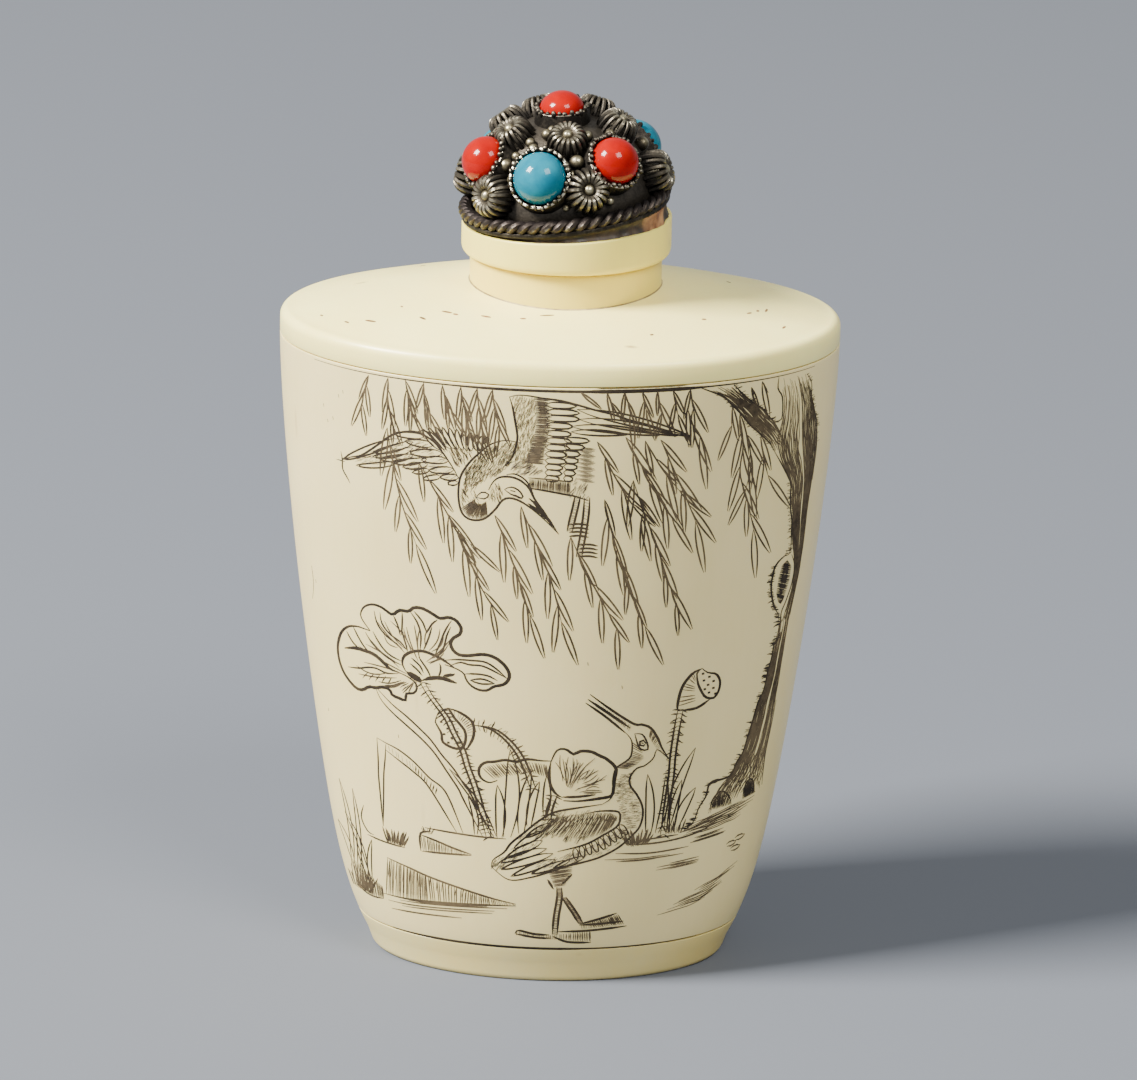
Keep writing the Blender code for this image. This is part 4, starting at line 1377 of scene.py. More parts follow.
BIG_VEINS = (
    [(-13.95, 31.7), (-15.0, 32.05), (-15.7, 32.6), (-16.3, 33.4), (-16.7, 34.1)],
    [(-13.95, 31.3), (-15.1, 31.7), (-16.0, 32.25), (-16.7, 32.85), (-17.1, 33.35), (-17.4, 33.85)],
    [(-17.0, 31.9), (-17.7, 32.6), (-18.6, 34.1)], [(-17.9, 31.95), (-18.6, 32.5), (-19.2, 33.4)],
    [(-14.25, 30.4), (-15.4, 30.2), (-16.3, 30.45), (-17.1, 30.35), (-18.0, 30.0), (-19.0, 29.8)],
    [(-13.4, 32.8), (-14.1, 33.6), (-15.1, 34.2), (-15.85, 35.1), (-16.05, 36.15)],
    [(-13.7, 32.6), (-14.4, 33.3), (-15.5, 34.0), (-16.3, 35.0), (-16.6, 36.2)],
    [(-14.1, 34.25), (-14.4, 35.3), (-14.8, 36.1)], [(-14.0, 34.3), (-13.95, 35.8), (-14.0, 36.6)],
    [(-13.4, 32.9), (-13.8, 34.1), (-13.95, 34.8)],
    [(-12.25, 33.1), (-12.2, 34.6), (-12.55, 35.8), (-13.2, 36.75)],
    [(-12.9, 36.9), (-12.1, 36.0), (-11.65, 34.9)], [(-11.65, 34.9), (-11.25, 35.8), (-10.7, 36.4)],
    [(-11.95, 33.1), (-11.5, 34.4), (-11.2, 35.6)],
    [(-10.9, 32.75), (-10.4, 34.1), (-10.1, 35.05), (-9.65, 36.05), (-9.4, 36.45)],
    [(-10.7, 32.6), (-10.1, 33.6), (-9.8, 34.95), (-9.45, 35.85)],
    [(-9.95, 32.45), (-8.8, 32.65), (-7.5, 32.7), (-6.2, 32.65), (-5.1, 32.0), (-4.1, 31.1)],
    [(-9.4, 32.0), (-8.5, 32.4), (-7.65, 32.25), (-6.5, 32.25), (-5.35, 31.8), (-4.2, 31.2)],
    [(-8.05, 31.3), (-6.95, 31.4), (-5.9, 31.3), (-5.05, 30.9)],
    [(-7.6, 30.7), (-6.5, 30.95), (-5.3, 30.6)], [(-7.6, 30.7), (-6.5, 30.45), (-5.3, 30.6)],
    [(-11.2, 30.5), (-11.5, 31.15), (-11.95, 31.8), (-12.4, 32.4)],
    [(-10.5, 30.65), (-10.3, 31.5), (-10.45, 32.05)], [(-12.0, 30.6), (-12.6, 31.2), (-13.2, 31.6)],
    [(-11.9, 30.9), (-12.3, 31.6), (-13.1, 32.2)],
)
SMALL_LEAF = [
    (0.0, 22.95), (0.55, 24.15), (1.35, 24.3), (2.1, 23.8), (2.7, 24.1), (3.7, 24.05), (4.55, 23.6),
    (5.2, 23.25), (6.05, 22.3), (5.95, 21.2), (5.85, 20.05), (5.65, 19.5), (4.3, 19.25), (2.6, 19.05),
    (1.25, 19.1),
]
SMALL_LEAF_SIDE = [(0.0, 22.95), (-0.1, 22.05), (0.0, 20.75), (0.5, 19.85), (1.1, 19.45)]
FOLDED_LEAF = [
    (0.0, 23.1), (-0.85, 23.1), (-2.2, 23.2), (-3.2, 22.9), (-4.2, 23.0), (-5.2, 22.75), (-6.05, 22.6),
    (-6.6, 22.0), (-6.5, 21.1), (-5.7, 20.6), (-4.9, 20.9),
]
HANGING_POD = [
    (-10.6, 26.8), (-10.75, 26.15), (-10.45, 25.6), (-10.15, 25.0), (-10.05, 24.25), (-9.4, 23.85),
    (-8.65, 23.7), (-8.1, 24.0), (-7.9, 24.8), (-8.0, 25.6), (-8.5, 26.25), (-9.0, 26.8), (-9.65, 27.65),
    (-10.6, 26.8),
]
HANGING_CONE = [
    (-9.65, 27.7), (-8.65, 27.45), (-7.65, 26.9), (-7.2, 26.25), (-7.2, 25.05), (-7.8, 23.75), (-8.1, 24.0),
]
RAISED_POD = [(12.05, 27.65), (11.6, 27.9), (11.95, 29.9), (12.9, 31.25), (13.8, 31.65)]
POD_FACE = [
    (13.8, 31.65), (14.35, 31.15), (15.1, 30.9), (15.5, 30.15), (15.4, 29.15), (14.95, 28.5), (14.2, 28.7),
    (13.8, 29.35), (13.45, 30.2), (13.35, 31.3), (13.8, 31.65),
]
SEEDS = (
    (-10.2, 26.2), (-9.6, 25.6), (-9.9, 25.0), (-9.2, 24.7), (-8.7, 25.4), (-8.5, 24.3), (-9.4, 26.4),
    (-9.5, 24.2), (13.9, 31.1), (14.5, 30.7), (14.0, 30.4), (14.9, 30.2), (14.4, 29.9), (14.1, 29.5),
    (14.9, 29.5), (14.5, 29.1), (15.1, 28.9),
)


def veins(heart, rim, count, width, low, high, reach, seed):
    """Veins from a leaf's heart towards its rim, bowed, and shorter or longer by chance."""
    chance = random.Random(seed)
    strokes = []
    for number in range(count):
        x1, z1 = along(rim, low + (high - low) * (number + chance.uniform(0.2, 0.8)) / count)
        start = chance.uniform(0.1, 0.4)
        end = reach * chance.uniform(0.7, 1.0)
        x0, z0 = heart
        bow = chance.uniform(-0.06, 0.06)
        points = []
        for step in range(5):
            way = start + (end - start) * step / 4
            swing = bow * math.sin(math.pi * step / 4)
            x = x0 + (x1 - x0) * way + (z1 - z0) * swing
            z = z0 + (z1 - z0) * way - (x1 - x0) * swing
            points.append((x, z))
        strokes.append((width, points))
    return strokes


leaves = [
    (0.26, BIG_LEAF), (0.26, LEAF_LOBES), (0.24, LEAF_CROWN), (0.25, SMALL_LEAF), (0.22, SMALL_LEAF_SIDE),
    (0.22, FOLDED_LEAF),
]
leaves += [
    (0.22, HANGING_POD), (0.22, HANGING_CONE), (0.24, RAISED_POD), (0.2, POD_FACE),
    (0.22, [(12.05, 27.65), (13.45, 27.75), (14.6, 28.45)]),
]
leaves += [
    (0.32, [(-12.0, 30.1), (-11.1, 30.5), (-10.1, 30.6), (-8.8, 30.3)]),
    (0.26, [(-13.55, 30.75), (-12.8, 30.2), (-12.05, 29.95)]),
]
leaves += [
    (
        0.3,
        [
            (-14.25, 30.55), (-15.0, 30.7), (-15.85, 31.35), (-16.55, 31.8), (-17.4, 31.95), (-18.3, 31.95),
            (-19.35, 31.6),
        ],
    )
]
leaves += [
    (0.3, [(-13.3, 30.7), (-12.6, 30.4), (-12.0, 30.1)]),
    (0.26, [(-10.1, 30.8), (-9.5, 31.0), (-9.0, 31.2)]), (0.2, [(1.1, 19.45), (2.6, 19.5), (4.2, 19.7)]),
]
leaves += [(0.15, vein) for vein in BIG_VEINS]
leaves += [(0.55, [(x - 0.12, z), (x + 0.12, z + 0.03)]) for x, z in SEEDS]
engrave("lotus_outline", leaves, deep_ink, 2.4)

vein_strokes = [(0.13, [(-17.1 + 0.55 * side, 29.9), (-17.6 + 0.6 * side, 29.1)]) for side in range(5)]
vein_strokes += veins((-12.6, 30.2), BIG_LEAF, 20, 0.13, 0.08, 0.95, 0.8, 1)
vein_strokes += veins((-12.2, 31.4), LEAF_LOBES[:22], 16, 0.12, 0.04, 0.96, 0.85, 2)
vein_strokes += veins((1.6, 19.9), SMALL_LEAF[:12], 28, 0.09, 0.02, 0.98, 0.92, 5)
vein_strokes += hatched(
    [(-6.4, 22.0), (-5.0, 22.6), (-3.4, 22.7), (-1.6, 22.9), (-0.3, 22.7)],
    [(-5.4, 20.9), (-4.2, 21.4), (-2.8, 21.6), (-1.4, 21.8), (-0.2, 21.4)], 28, 0.11, 0.04, seed=7,
)
vein_strokes += hatched(
    HANGING_CONE[:5], [(-9.5, 27.2), (-8.7, 26.8), (-8.2, 26.3), (-7.8, 25.8), (-7.7, 25.0)], 14, 0.1, 0.0,
    seed=8,
)
vein_strokes += hatched(
    RAISED_POD[1:], [(13.3, 28.2), (13.2, 29.4), (13.2, 30.4), (13.4, 31.2)], 12, 0.1, 0.05, seed=9,
)
engrave("lotus_veins", vein_strokes, fine_ink, 2.1)

# %% [markdown]
# The lotus stems carry fine thorns on both sides. That is a rule, so a tree of its own sets
# them: it offsets each stem to both sides for its two outlines, spaces points along it, and
# stands a short spine on every point, a little turned and sized by chance. Drawn by hand, a
# stem would need some sixty strokes.

# %% Thorned stems
THORN_SPACING = 0.42 * MM
THORN_LENGTH = 0.3 * MM
THORN_LINE = 0.13
STEM_WIDTH = 0.5 * MM
STEMS = [
    [
        (-12.0, 29.9), (-11.25, 28.7), (-10.4, 27.6), (-9.65, 26.6), (-8.95, 25.15), (-8.2, 23.7),
        (-7.65, 21.9), (-6.95, 20.0), (-6.2, 17.4), (-5.6, 15.1),
    ],
    [(-7.2, 26.25), (-6.2, 26.2), (-5.1, 25.85), (-3.9, 24.9), (-2.9, 23.6), (-2.2, 22.1), (-1.6, 20.3)],
    [(11.9, 27.8), (11.6, 25.8), (11.3, 23.1), (11.2, 21.1), (10.9, 18.4), (10.6, 15.2)],
    [(0.4, 19.6), (0.0, 18.2), (-0.1, 17.2)],
]


def thorn_tree():
    tree, start, end = geometry_tree(
        "thorned_stems",
        ("Spacing", NUMBER, THORN_SPACING),
        ("Thorn", NUMBER, THORN_LENGTH),
        ("Stem Width", NUMBER, STEM_WIDTH),
        ("Line Width", NUMBER, 1.0),
        ("Seed", WHOLE, 1),
    )
    stems = smooth_curves(tree, start["Geometry"])
    points, way = spaced(tree, stems, start["Spacing"])
    lean = calc(tree, "ARCTAN2", way["X"], way["Z"])
    size = random_between(tree, 0.6, 1.1, start["Seed"])
    reach = plus(tree, start["Stem Width"], start["Thorn"])
    parts = []
    for sign in (-1.0, 1.0):
        shift = combine(tree, times(tree, start["Stem Width"], 0.5 * sign))
        parts.append(moved(tree, stems, "Offset", shift))
        tip = combine(tree, times(tree, reach, sign), z=times(tree, start["Thorn"], 0.9))
        spine = made(tree, "GeometryNodeCurvePrimitiveLine", {"Start": (0, 0, 0), "End": tip})
        spine = keep(tree, spine, "line_width", THORN_LINE)
        swing = random_between(tree, -0.35, 0.35, plus(tree, start["Seed"], sign))
        turn = combine(tree, y=plus(tree, lean, swing))
        parts.append(real(tree, copies(tree, points, spine, turn, size)))
    cut_lines(tree, start, end, joined(tree, *parts))
    return tree


stem_values = {
    "Spacing": THORN_SPACING,
    "Thorn": THORN_LENGTH,
    "Stem Width": STEM_WIDTH,
    "Line Width": 2.5,
    "Seed": 4,
}
stem_strokes = [(0.17, stem) for stem in STEMS]
lines_piece("thorned_stems", stem_strokes, thorn_tree(), deep_ink, stem_values)

# %% [markdown]
# The standing heron looks up to the left with its bill half open. Its outlines are broad
# strokes. Long feathers at the wing and the tail come from feather(), the streaks on the wing
# and the bars on the neck and breast from hatched() and ticks(), and its two thin legs are
# ringed, with toes that rest on a reed.

# %% Standing heron
UPPER_BILL = [
    (3.5, 29.8), (5.5, 28.2), (7.6, 26.7), (8.3, 26.6), (9.15, 26.2), (9.8, 25.2), (10.3, 24.0),
    (11.0, 22.8),
]
LOWER_BILL = [(3.1, 28.95), (4.9, 27.6), (6.9, 25.8)]
THROAT = [
    (6.9, 25.8), (7.45, 24.95), (7.4, 23.45), (6.65, 22.75), (6.05, 22.3), (5.8, 21.1), (5.85, 20.0),
    (5.6, 19.2), (4.85, 18.7),
]
NAPE = [
    (11.0, 22.8), (9.85, 23.95), (9.5, 23.1), (8.7, 22.4), (8.0, 22.2), (7.4, 21.4), (7.4, 20.5),
    (8.05, 19.5), (8.55, 18.4), (8.65, 17.3), (8.35, 16.15), (7.6, 15.25), (6.45, 14.2), (4.8, 13.3),
    (3.4, 12.85), (1.75, 12.4), (0.05, 11.75), (-1.65, 11.15), (-3.65, 10.8), (-5.3, 12.0),
]
HERON_BACK = [
    (4.85, 18.7), (1.6, 18.2), (0.2, 17.8), (-1.15, 16.85), (-2.3, 15.75), (-3.5, 14.6), (-4.15, 13.6),
    (-5.15, 12.75), (-5.3, 12.0),
]
WING = [
    (3.3, 17.75), (4.65, 18.0), (6.3, 17.9), (6.55, 17.3), (6.3, 16.4), (4.95, 15.5), (3.3, 14.6),
    (0.8, 13.9),
]
WING_TOP_EDGE = [(0.4, 17.4), (2.2, 17.7), (4.0, 17.8), (5.6, 17.8), (6.3, 17.4)]
WING_LOW_EDGE = [(-0.8, 15.8), (1.0, 15.4), (3.0, 15.2), (4.8, 15.6), (6.1, 16.5)]
LEG_ONE = [(0.8, 10.2), (0.85, 9.05), (0.6, 7.1), (0.5, 5.2)]
LEG_TWO = [(1.25, 9.2), (2.2, 7.7), (2.95, 6.35)]
heron = [
    (0.23, UPPER_BILL), (0.22, LOWER_BILL), (0.17, THROAT), (0.19, NAPE), (0.2, HERON_BACK), (0.19, WING),
    (0.2, LEG_ONE), (0.2, offset(LEG_ONE, 0.45)), (0.2, LEG_TWO), (0.2, offset(LEG_TWO, 0.42)),
    (0.26, [(3.3, 29.3), (5.2, 27.9), (7.3, 26.3)]), (0.22, [(-0.1, 11.0), (0.55, 10.0)]),
    (0.22, [(2.2, 11.6), (1.25, 10.45)]),
    (0.17, [(7.7, 25.7), (8.5, 25.5), (9.0, 24.1), (8.2, 24.2), (7.7, 25.7)]),
    (0.2, [(8.45 + 0.3 * math.cos(0.7 * step), 24.7 + 0.3 * math.sin(0.7 * step)) for step in range(10)]),
    (0.34, [(8.35, 24.75), (8.55, 24.65)]), (0.22, [(3.0, 6.3), (4.8, 6.8), (6.45, 7.35)]),
    (0.22, [(3.0, 6.2), (5.0, 6.3), (7.1, 6.45)]), (0.22, [(1.0, 5.5), (4.0, 5.6), (7.4, 5.9)]),
    (0.22, [(0.2, 5.15), (-1.2, 5.2), (-2.65, 5.5), (-3.0, 5.15)]),
    (0.22, [(0.5, 5.0), (1.9, 4.4), (4.1, 4.3)]), (0.2, [(0.4, 4.8), (-1.0, 4.8), (-2.9, 5.1)]),
]
TAIL_FEATHERS = (
    ((-0.6, 15.0), (-4.0, 13.0), 0.75), ((-0.2, 14.2), (-4.6, 12.5), 0.7), ((0.4, 13.7), (-4.4, 11.8), 0.7),
    ((0.6, 13.1), (-3.4, 11.2), 0.65), ((2.0, 13.0), (-1.6, 11.5), 0.6), ((-0.4, 16.0), (-3.2, 14.1), 0.7),
    ((0.2, 16.8), (-2.2, 15.2), 0.6), ((3.4, 13.4), (0.4, 12.1), 0.55),
)
heron += [feather(root, tip, width, 0.05, 0.17, 0.7) for root, tip, width in TAIL_FEATHERS]
heron += row_of_feathers(
    [(6.5, 16.6), (4.6, 15.3), (2.4, 14.3)], [(7.3, 15.4), (5.2, 14.0), (2.6, 13.0)], 9, 0.5, 0.0, 0.14,
)
engrave("standing_heron_outline", heron, deep_ink, 2.1)

feathers = hatched(WING_TOP_EDGE, WING_LOW_EDGE, 40, 0.09, -0.06, seed=1)
feathers += hatched(WING_TOP_EDGE, part_way(WING_TOP_EDGE, WING_LOW_EDGE, 0.5), 20, 0.1, 0.05, seed=2)
feathers += ticks(
    [(-0.4, 17.2), (2.0, 17.8), (5.0, 18.2)], [(-1.6, 15.6), (0.4, 15.0), (3.4, 14.9)], 130, 0.6, 62, 0.11,
    3,
)
feathers += ticks(
    HERON_BACK[1:],
    part_way(
        HERON_BACK[1:],
        [
            (1.2, 16.6), (0.4, 15.6), (-0.4, 15.0), (-1.2, 14.2), (-2.2, 13.4), (-3.2, 12.8), (-3.8, 12.2),
            (-4.4, 11.8),
        ],
        0.9,
    ),
    130, 0.5, 50, 0.11, 4,
)
feathers += ticks(
    [(7.6, 21.8), (7.3, 20.6), (8.0, 19.2), (8.5, 17.4), (7.6, 15.6)],
    [(6.1, 21.6), (6.0, 20.0), (6.5, 18.4), (6.9, 17.0), (6.6, 15.6)], 200, 0.5, 8, 0.12, 5,
)
feathers += ticks(
    [(7.6, 15.4), (5.0, 13.6), (2.0, 12.6), (-1.0, 11.5)],
    [(6.6, 16.0), (4.4, 14.6), (1.6, 13.6), (-1.2, 12.6)], 130, 0.5, 40, 0.12, 6,
)
feathers += hatched(
    THROAT[1:5], [(8.4, 24.2), (8.6, 23.2), (8.0, 22.6), (7.2, 22.2)], 18, 0.09, 0.04, seed=8,
)
feathers += hatched(
    UPPER_BILL[4:], [(9.0, 25.4), (9.4, 24.6), (9.9, 23.8), (10.8, 22.9)], 20, 0.11, 0.03, seed=9,
)
feathers += hatched([(4.6, 28.6), (7.4, 26.5)], [(4.8, 28.1), (7.2, 26.0)], 14, 0.16, 0.0, seed=10)
feathers += hatched(
    [(-0.1, 12.0), (0.3, 11.0), (0.6, 10.2)], [(2.2, 12.4), (2.1, 11.4), (1.5, 10.4)], 14, 0.11, 0.02,
    seed=11,
)
for leg in (LEG_ONE, LEG_TWO):
    feathers += hatched(leg, offset(leg, 0.44), 34, 0.19, 0.01, seed=12)
feathers += hatched([(3.1, 6.3), (6.6, 7.2)], [(3.2, 5.8), (7.2, 6.1)], 26, 0.12, 0.0, seed=13)
feathers += hatched(
    [(-2.9, 5.4), (0.4, 5.1), (4.0, 5.6)], [(-2.9, 5.0), (0.4, 4.7), (4.1, 4.4)], 34, 0.14, 0.0, seed=14,
)
engrave("standing_heron_feathers", feathers, fine_ink, 1.9)

# %% [markdown]
# Reeds, grass, banks and water close the picture at the foot. A reed is two strokes that
# meet at a point, so blade() makes one from its root, its tip and a bend, and tuft() sets a
# clump of short ones. A bank is a row of close hatching under a rim, dark at its left, and
# the water is a few long dashes that follow the bottle.

# %% Reeds, banks and water
def blade(root, tip, width, bow=0.0, line=0.16):
    """A pointed leaf: two strokes from its root to its tip, bowed to one side."""
    x0, z0 = root
    x1, z1 = tip
    length = math.hypot(x1 - x0, z1 - z0)
    nx, nz = (z1 - z0) / length, -(x1 - x0) / length
    strokes = []
    for sign in (-1, 1):
        points = []
        for step in range(7):
            way = step / 6
            swell = sign * width / 2 * math.sin(math.pi * (0.12 + 0.88 * way)) ** 0.7
            reach = bow * math.sin(math.pi * way) + swell
            points.append((x0 + (x1 - x0) * way + nx * reach, z0 + (z1 - z0) * way + nz * reach))
        strokes.append((line, points))
    return strokes


def tuft(x, z, spread, count, tall, width, seed):
    """A clump of grass: short dark strokes that fan out from its foot."""
    chance = random.Random(seed)
    strokes = []
    for number in range(count):
        place = (number / (count - 1) - 0.5) * spread
        reach = tall * chance.uniform(0.45, 1.0)
        foot = (x + place * 0.7, z + chance.uniform(-0.1, 0.1))
        tip = (x + place * 1.15 + chance.uniform(-0.15, 0.15), z + reach)
        strokes.append((width, [foot, tip]))
    return strokes


BLADES = (
    ((-5.0, 15.1), (-9.4, 21.6), 0.5, 0.4), ((-3.9, 15.2), (-3.75, 24.1), 1.3, 0.35),
    ((-2.6, 15.6), (-1.8, 22.0), 0.9, -0.2), ((-4.6, 15.1), (-4.9, 20.4), 0.9, 0.2),
    ((-1.9, 16.4), (-1.0, 21.0), 0.7, -0.2), ((-6.8, 15.2), (-7.6, 19.0), 0.5, 0.3),
    ((-0.4, 17.6), (-0.35, 21.6), 0.7, 0.1), ((9.2, 15.2), (9.0, 21.5), 0.8, 0.2),
    ((10.0, 15.4), (10.7, 21.3), 0.6, 0.3), ((10.9, 15.6), (13.4, 23.7), 0.9, -0.4),
    ((11.8, 15.8), (13.5, 19.6), 0.8, -0.2), ((11.4, 15.4), (12.2, 20.6), 0.7, -0.2),
    ((-18.4, 8.6), (-19.8, 17.7), 0.4, 0.4), ((-17.8, 8.2), (-18.5, 17.3), 0.4, 0.3),
    ((-17.0, 8.0), (-19.2, 14.4), 0.5, 0.5), ((-16.6, 8.0), (-18.0, 13.0), 0.5, -0.3),
    ((-16.6, 8.2), (-16.6, 12.6), 0.4, -0.2), ((-18.4, 9.4), (-19.9, 13.0), 0.5, 0.2),
)
plants = []
for root, tip, width, bow in BLADES:
    plants += blade(root, tip, width, bow)
plants += [
    (
        0.18,
        [
            (-16.25, 28.45), (-14.85, 27.2), (-13.4, 26.2), (-12.0, 25.05), (-11.1, 24.2), (-10.1, 22.9),
            (-8.95, 21.6), (-7.95, 20.1), (-7.2, 19.0), (-5.4, 15.1),
        ],
    ),
    (
        0.18,
        [
            (-16.4, 28.5), (-15.85, 27.4), (-14.85, 26.4), (-13.4, 25.3), (-12.0, 24.2), (-10.8, 23.0),
            (-9.65, 21.35), (-8.5, 19.65), (-8.1, 18.8), (-6.2, 15.1),
        ],
    ),
    (0.17, [(-16.2, 23.4), (-16.05, 21.2), (-16.0, 19.6), (-15.8, 17.5), (-15.5, 14.4)]),
    (0.17, [(-15.35, 23.0), (-15.4, 21.5), (-15.5, 19.9), (-15.5, 17.7), (-15.5, 14.4)]),
    (
        0.17,
        [
            (-16.2, 23.4), (-15.4, 23.1), (-14.1, 22.65), (-12.7, 21.75), (-11.25, 20.4), (-9.65, 19.1),
            (-8.0, 15.2),
        ],
    ),
    (0.17, [(-15.4, 22.4), (-14.1, 21.6), (-12.7, 20.7), (-11.25, 19.4), (-8.6, 15.2)]),
    (0.16, [(-17.4, 16.0), (-17.6, 14.6), (-17.0, 13.4), (-16.4, 13.2)]),
]
plants += hatched(
    [(-15.2, 22.9), (-12.7, 21.5), (-10.4, 19.4)], [(-15.2, 22.5), (-12.7, 20.9), (-10.6, 18.8)], 16, 0.12,
    0.02, seed=3,
)
engrave("reeds", plants, deep_ink, 2.0)

BANK_TOP = [(-15.1, 11.2), (-13.0, 10.7), (-11.3, 10.2), (-7.6, 9.3), (-5.1, 8.7), (-3.0, 8.3)]
BANK_LOW = [(-15.4, 7.2), (-13.2, 7.3), (-11.3, 7.5), (-8.0, 7.8), (-5.1, 8.0), (-3.0, 8.1)]
FAR_BANK_TOP = [(-18.6, 9.6), (-17.6, 9.4), (-16.6, 8.6), (-15.5, 7.9)]
FAR_BANK_LOW = [(-18.0, 6.9), (-17.2, 6.5), (-16.4, 6.4), (-15.4, 6.6)]
ISLET_TOP = [(-12.0, 14.4), (-10.4, 14.0), (-8.8, 13.5), (-7.2, 13.1)]
ISLET_LOW = [(-11.8, 12.7), (-10.4, 12.8), (-8.8, 12.9), (-7.2, 13.0)]
ground = hatched(BANK_TOP, BANK_LOW, 66, 0.1, 0.02, seed=1)
ground += hatched(BANK_TOP[:4], part_way(BANK_TOP, BANK_LOW, 0.5)[:4], 18, 0.09, 0.0, seed=2)
ground += hatched(FAR_BANK_TOP, FAR_BANK_LOW, 26, 0.11, 0.04, seed=3)
ground += hatched(ISLET_TOP, ISLET_LOW, 28, 0.09, 0.02, seed=4)
ground += between(BANK_LOW, offset(BANK_LOW, 0.0, -0.9), 4, 0.15, trim=0.3, seed=5)
ground += [
    (0.2, BANK_TOP), (0.2, BANK_LOW), (0.18, FAR_BANK_LOW), (0.2, ISLET_TOP), (0.2, ISLET_LOW),
    (0.2, [(-11.9, 12.7), (-12.0, 14.5), (-11.0, 14.9)]),
]
ground += [
    (0.18, [(-11.6, 15.2), (-9.0, 15.1), (-6.4, 15.0), (-4.0, 15.0)]),
    (0.17, [(-17.0, 13.0), (-15.4, 12.8), (-13.4, 12.7)]),
    (0.15, [(-14.6, 5.8), (-11.0, 6.1), (-8.0, 6.3)]),
]
ground += [
    (0.16, [(6.2, 13.6), (9.4, 13.4), (13.0, 13.6)]),
    (0.18, [(7.2, 14.4), (10.4, 14.4), (13.4, 14.8), (15.6, 15.6)]), (0.17, [(8.4, 14.8), (12.0, 15.0)]),
]
ground += between(
    [(11.4, 15.2), (13.6, 16.0), (16.0, 16.8), (19.4, 17.6)],
    [(12.6, 14.6), (15.0, 15.0), (17.4, 15.4), (19.2, 16.2)], 11, 0.11, trim=0.3, wander=0.05, seed=6,
)
ground += between([(13.4, 14.4), (17.0, 15.0)], [(13.0, 13.8), (16.4, 14.2)], 4, 0.15, trim=0.3, seed=7)
ground += between([(9.8, 12.0), (14.2, 12.4)], [(9.8, 11.3), (14.0, 11.7)], 5, 0.12, trim=0.35, seed=8)
ground += between(
    [(13.0, 8.6), (16.0, 9.8), (18.0, 11.0)], [(10.0, 6.6), (13.6, 7.2), (16.4, 8.6)], 9, 0.11, trim=0.4,
    wander=0.03, seed=9,
)
ground += between(
    [(4.0, 13.1), (8.2, 13.0), (13.0, 13.2)], [(4.6, 12.7), (8.4, 12.6), (12.4, 12.8)], 3, 0.12, trim=0.3,
    seed=10,
)
TUFTS = (
    (-14.3, 12.8, 2.2, 18, 1.7, 0.17), (8.2, 14.3, 2.6, 20, 1.8, 0.16), (11.6, 15.2, 2.0, 12, 1.3, 0.15),
    (-11.3, 14.6, 1.0, 7, 0.9, 0.16), (-17.5, 6.6, 2.4, 26, 2.4, 0.16),
)
for number, (x, z, spread, count, tall, width) in enumerate(TUFTS):
    ground += tuft(x, z, spread, count, tall, width, number)
for x, z in ((16.6, 12.8), (17.4, 13.2), (17.0, 12.2)):
    ground += blade((x, z), (x + 0.9, z + 0.2), 0.5)
engrave("banks_and_water", ground, fine_ink, 2.0)

# %% [markdown]
# Age has left its own marks. Ink and dirt have gathered in the seam under the shoulder plate,
# most of all at the right of the middle, and in the seam above the foot, where they fade
# to the right. A few brown specks and one hairline lie on the left side, away from the picture.

# %% Seam dirt and specks
SEAM_HEIGHT = 59.38
FOOT_SEAM_HEIGHT = (body_low.z - SEAM_CLOSING) / MM + 0.03


def seam_line(height, low, high, width):
    """A stroke that follows a seam round the front, from one x to another."""
    steps = 24
    return (width, [(low + (high - low) * step / steps, height) for step in range(steps + 1)])


dirt = [
    seam_line(SEAM_HEIGHT, -22.5, 23.5, 0.16), seam_line(SEAM_HEIGHT, -12.0, 16.0, 0.3),
    seam_line(SEAM_HEIGHT, 1.0, 14.0, 0.42),
]
dirt += [seam_line(FOOT_SEAM_HEIGHT, -14.5, 6.0, 0.26), seam_line(FOOT_SEAM_HEIGHT, -12.0, 14.0, 0.14)]
engrave("seam_dirt", dirt, deep_ink)

SPECKS = (
    (-21.6, 55.4), (-20.7, 54.4), (-19.8, 57.2), (-20.2, 56.7), (-21.2, 54.0), (-22.2, 37.4), (-20.9, 24.6),
    (-14.2, 24.2), (6.4, 30.6), (3.2, 33.0),
)
specks = [(0.22, [(x, z), (x + 0.06, z - 0.3)]) for x, z in SPECKS]
specks += [(0.1, [(-22.6, 38.6), (-22.4, 36.8), (-22.5, 35.2)])]
engrave("worn_specks", specks, fine_ink)

# %% [markdown]
# The shoulder plate has its own marks: open pores with dirt in them, which lie along the
# grain, and a thin line of old grease where the neck meets the dome. A pore is a small round
# form, stretched, turned and sunk into the dome, whose height at any place is known from its
# formula. The line is turned like the plate, with its rings on the same dome.

# %% Marks on the shoulder
PLATE_INNER = plate_high.x - PLATE_EDGE_RADIUS
PORE_WIDTH = 0.13 * MM
PORE_LIFT = 0.02 * MM
PLATE_PORES = (
    (-17.4, -8.6, 1.3), (-19.6, -8.0, 0.7), (-12.6, -9.4, 0.9), (-10.4, -8.6, 1.2), (-9.6, -9.2, 0.6),
    (-6.8, -10.0, 1.1), (-1.2, -10.0, 1.4), (-3.4, -10.6, 0.6), (17.4, -5.0, 0.7), (19.0, -3.4, 1.0),
    (18.2, -4.0, 0.5), (20.6, -6.6, 0.8), (13.2, -8.2, 0.5), (8.4, -12.4, 0.4), (-14.6, -6.4, 0.4),
    (-22.0, -5.4, 0.5), (15.6, 4.2, 0.6), (-13.0, 8.2, 0.7), (3.0, 13.0, 0.6), (-6.0, 12.2, 0.5),
)
grease = ink_material("old_grease", (0.16, 0.11, 0.045, 1), (0.50, 0.39, 0.18, 1), 1.0)
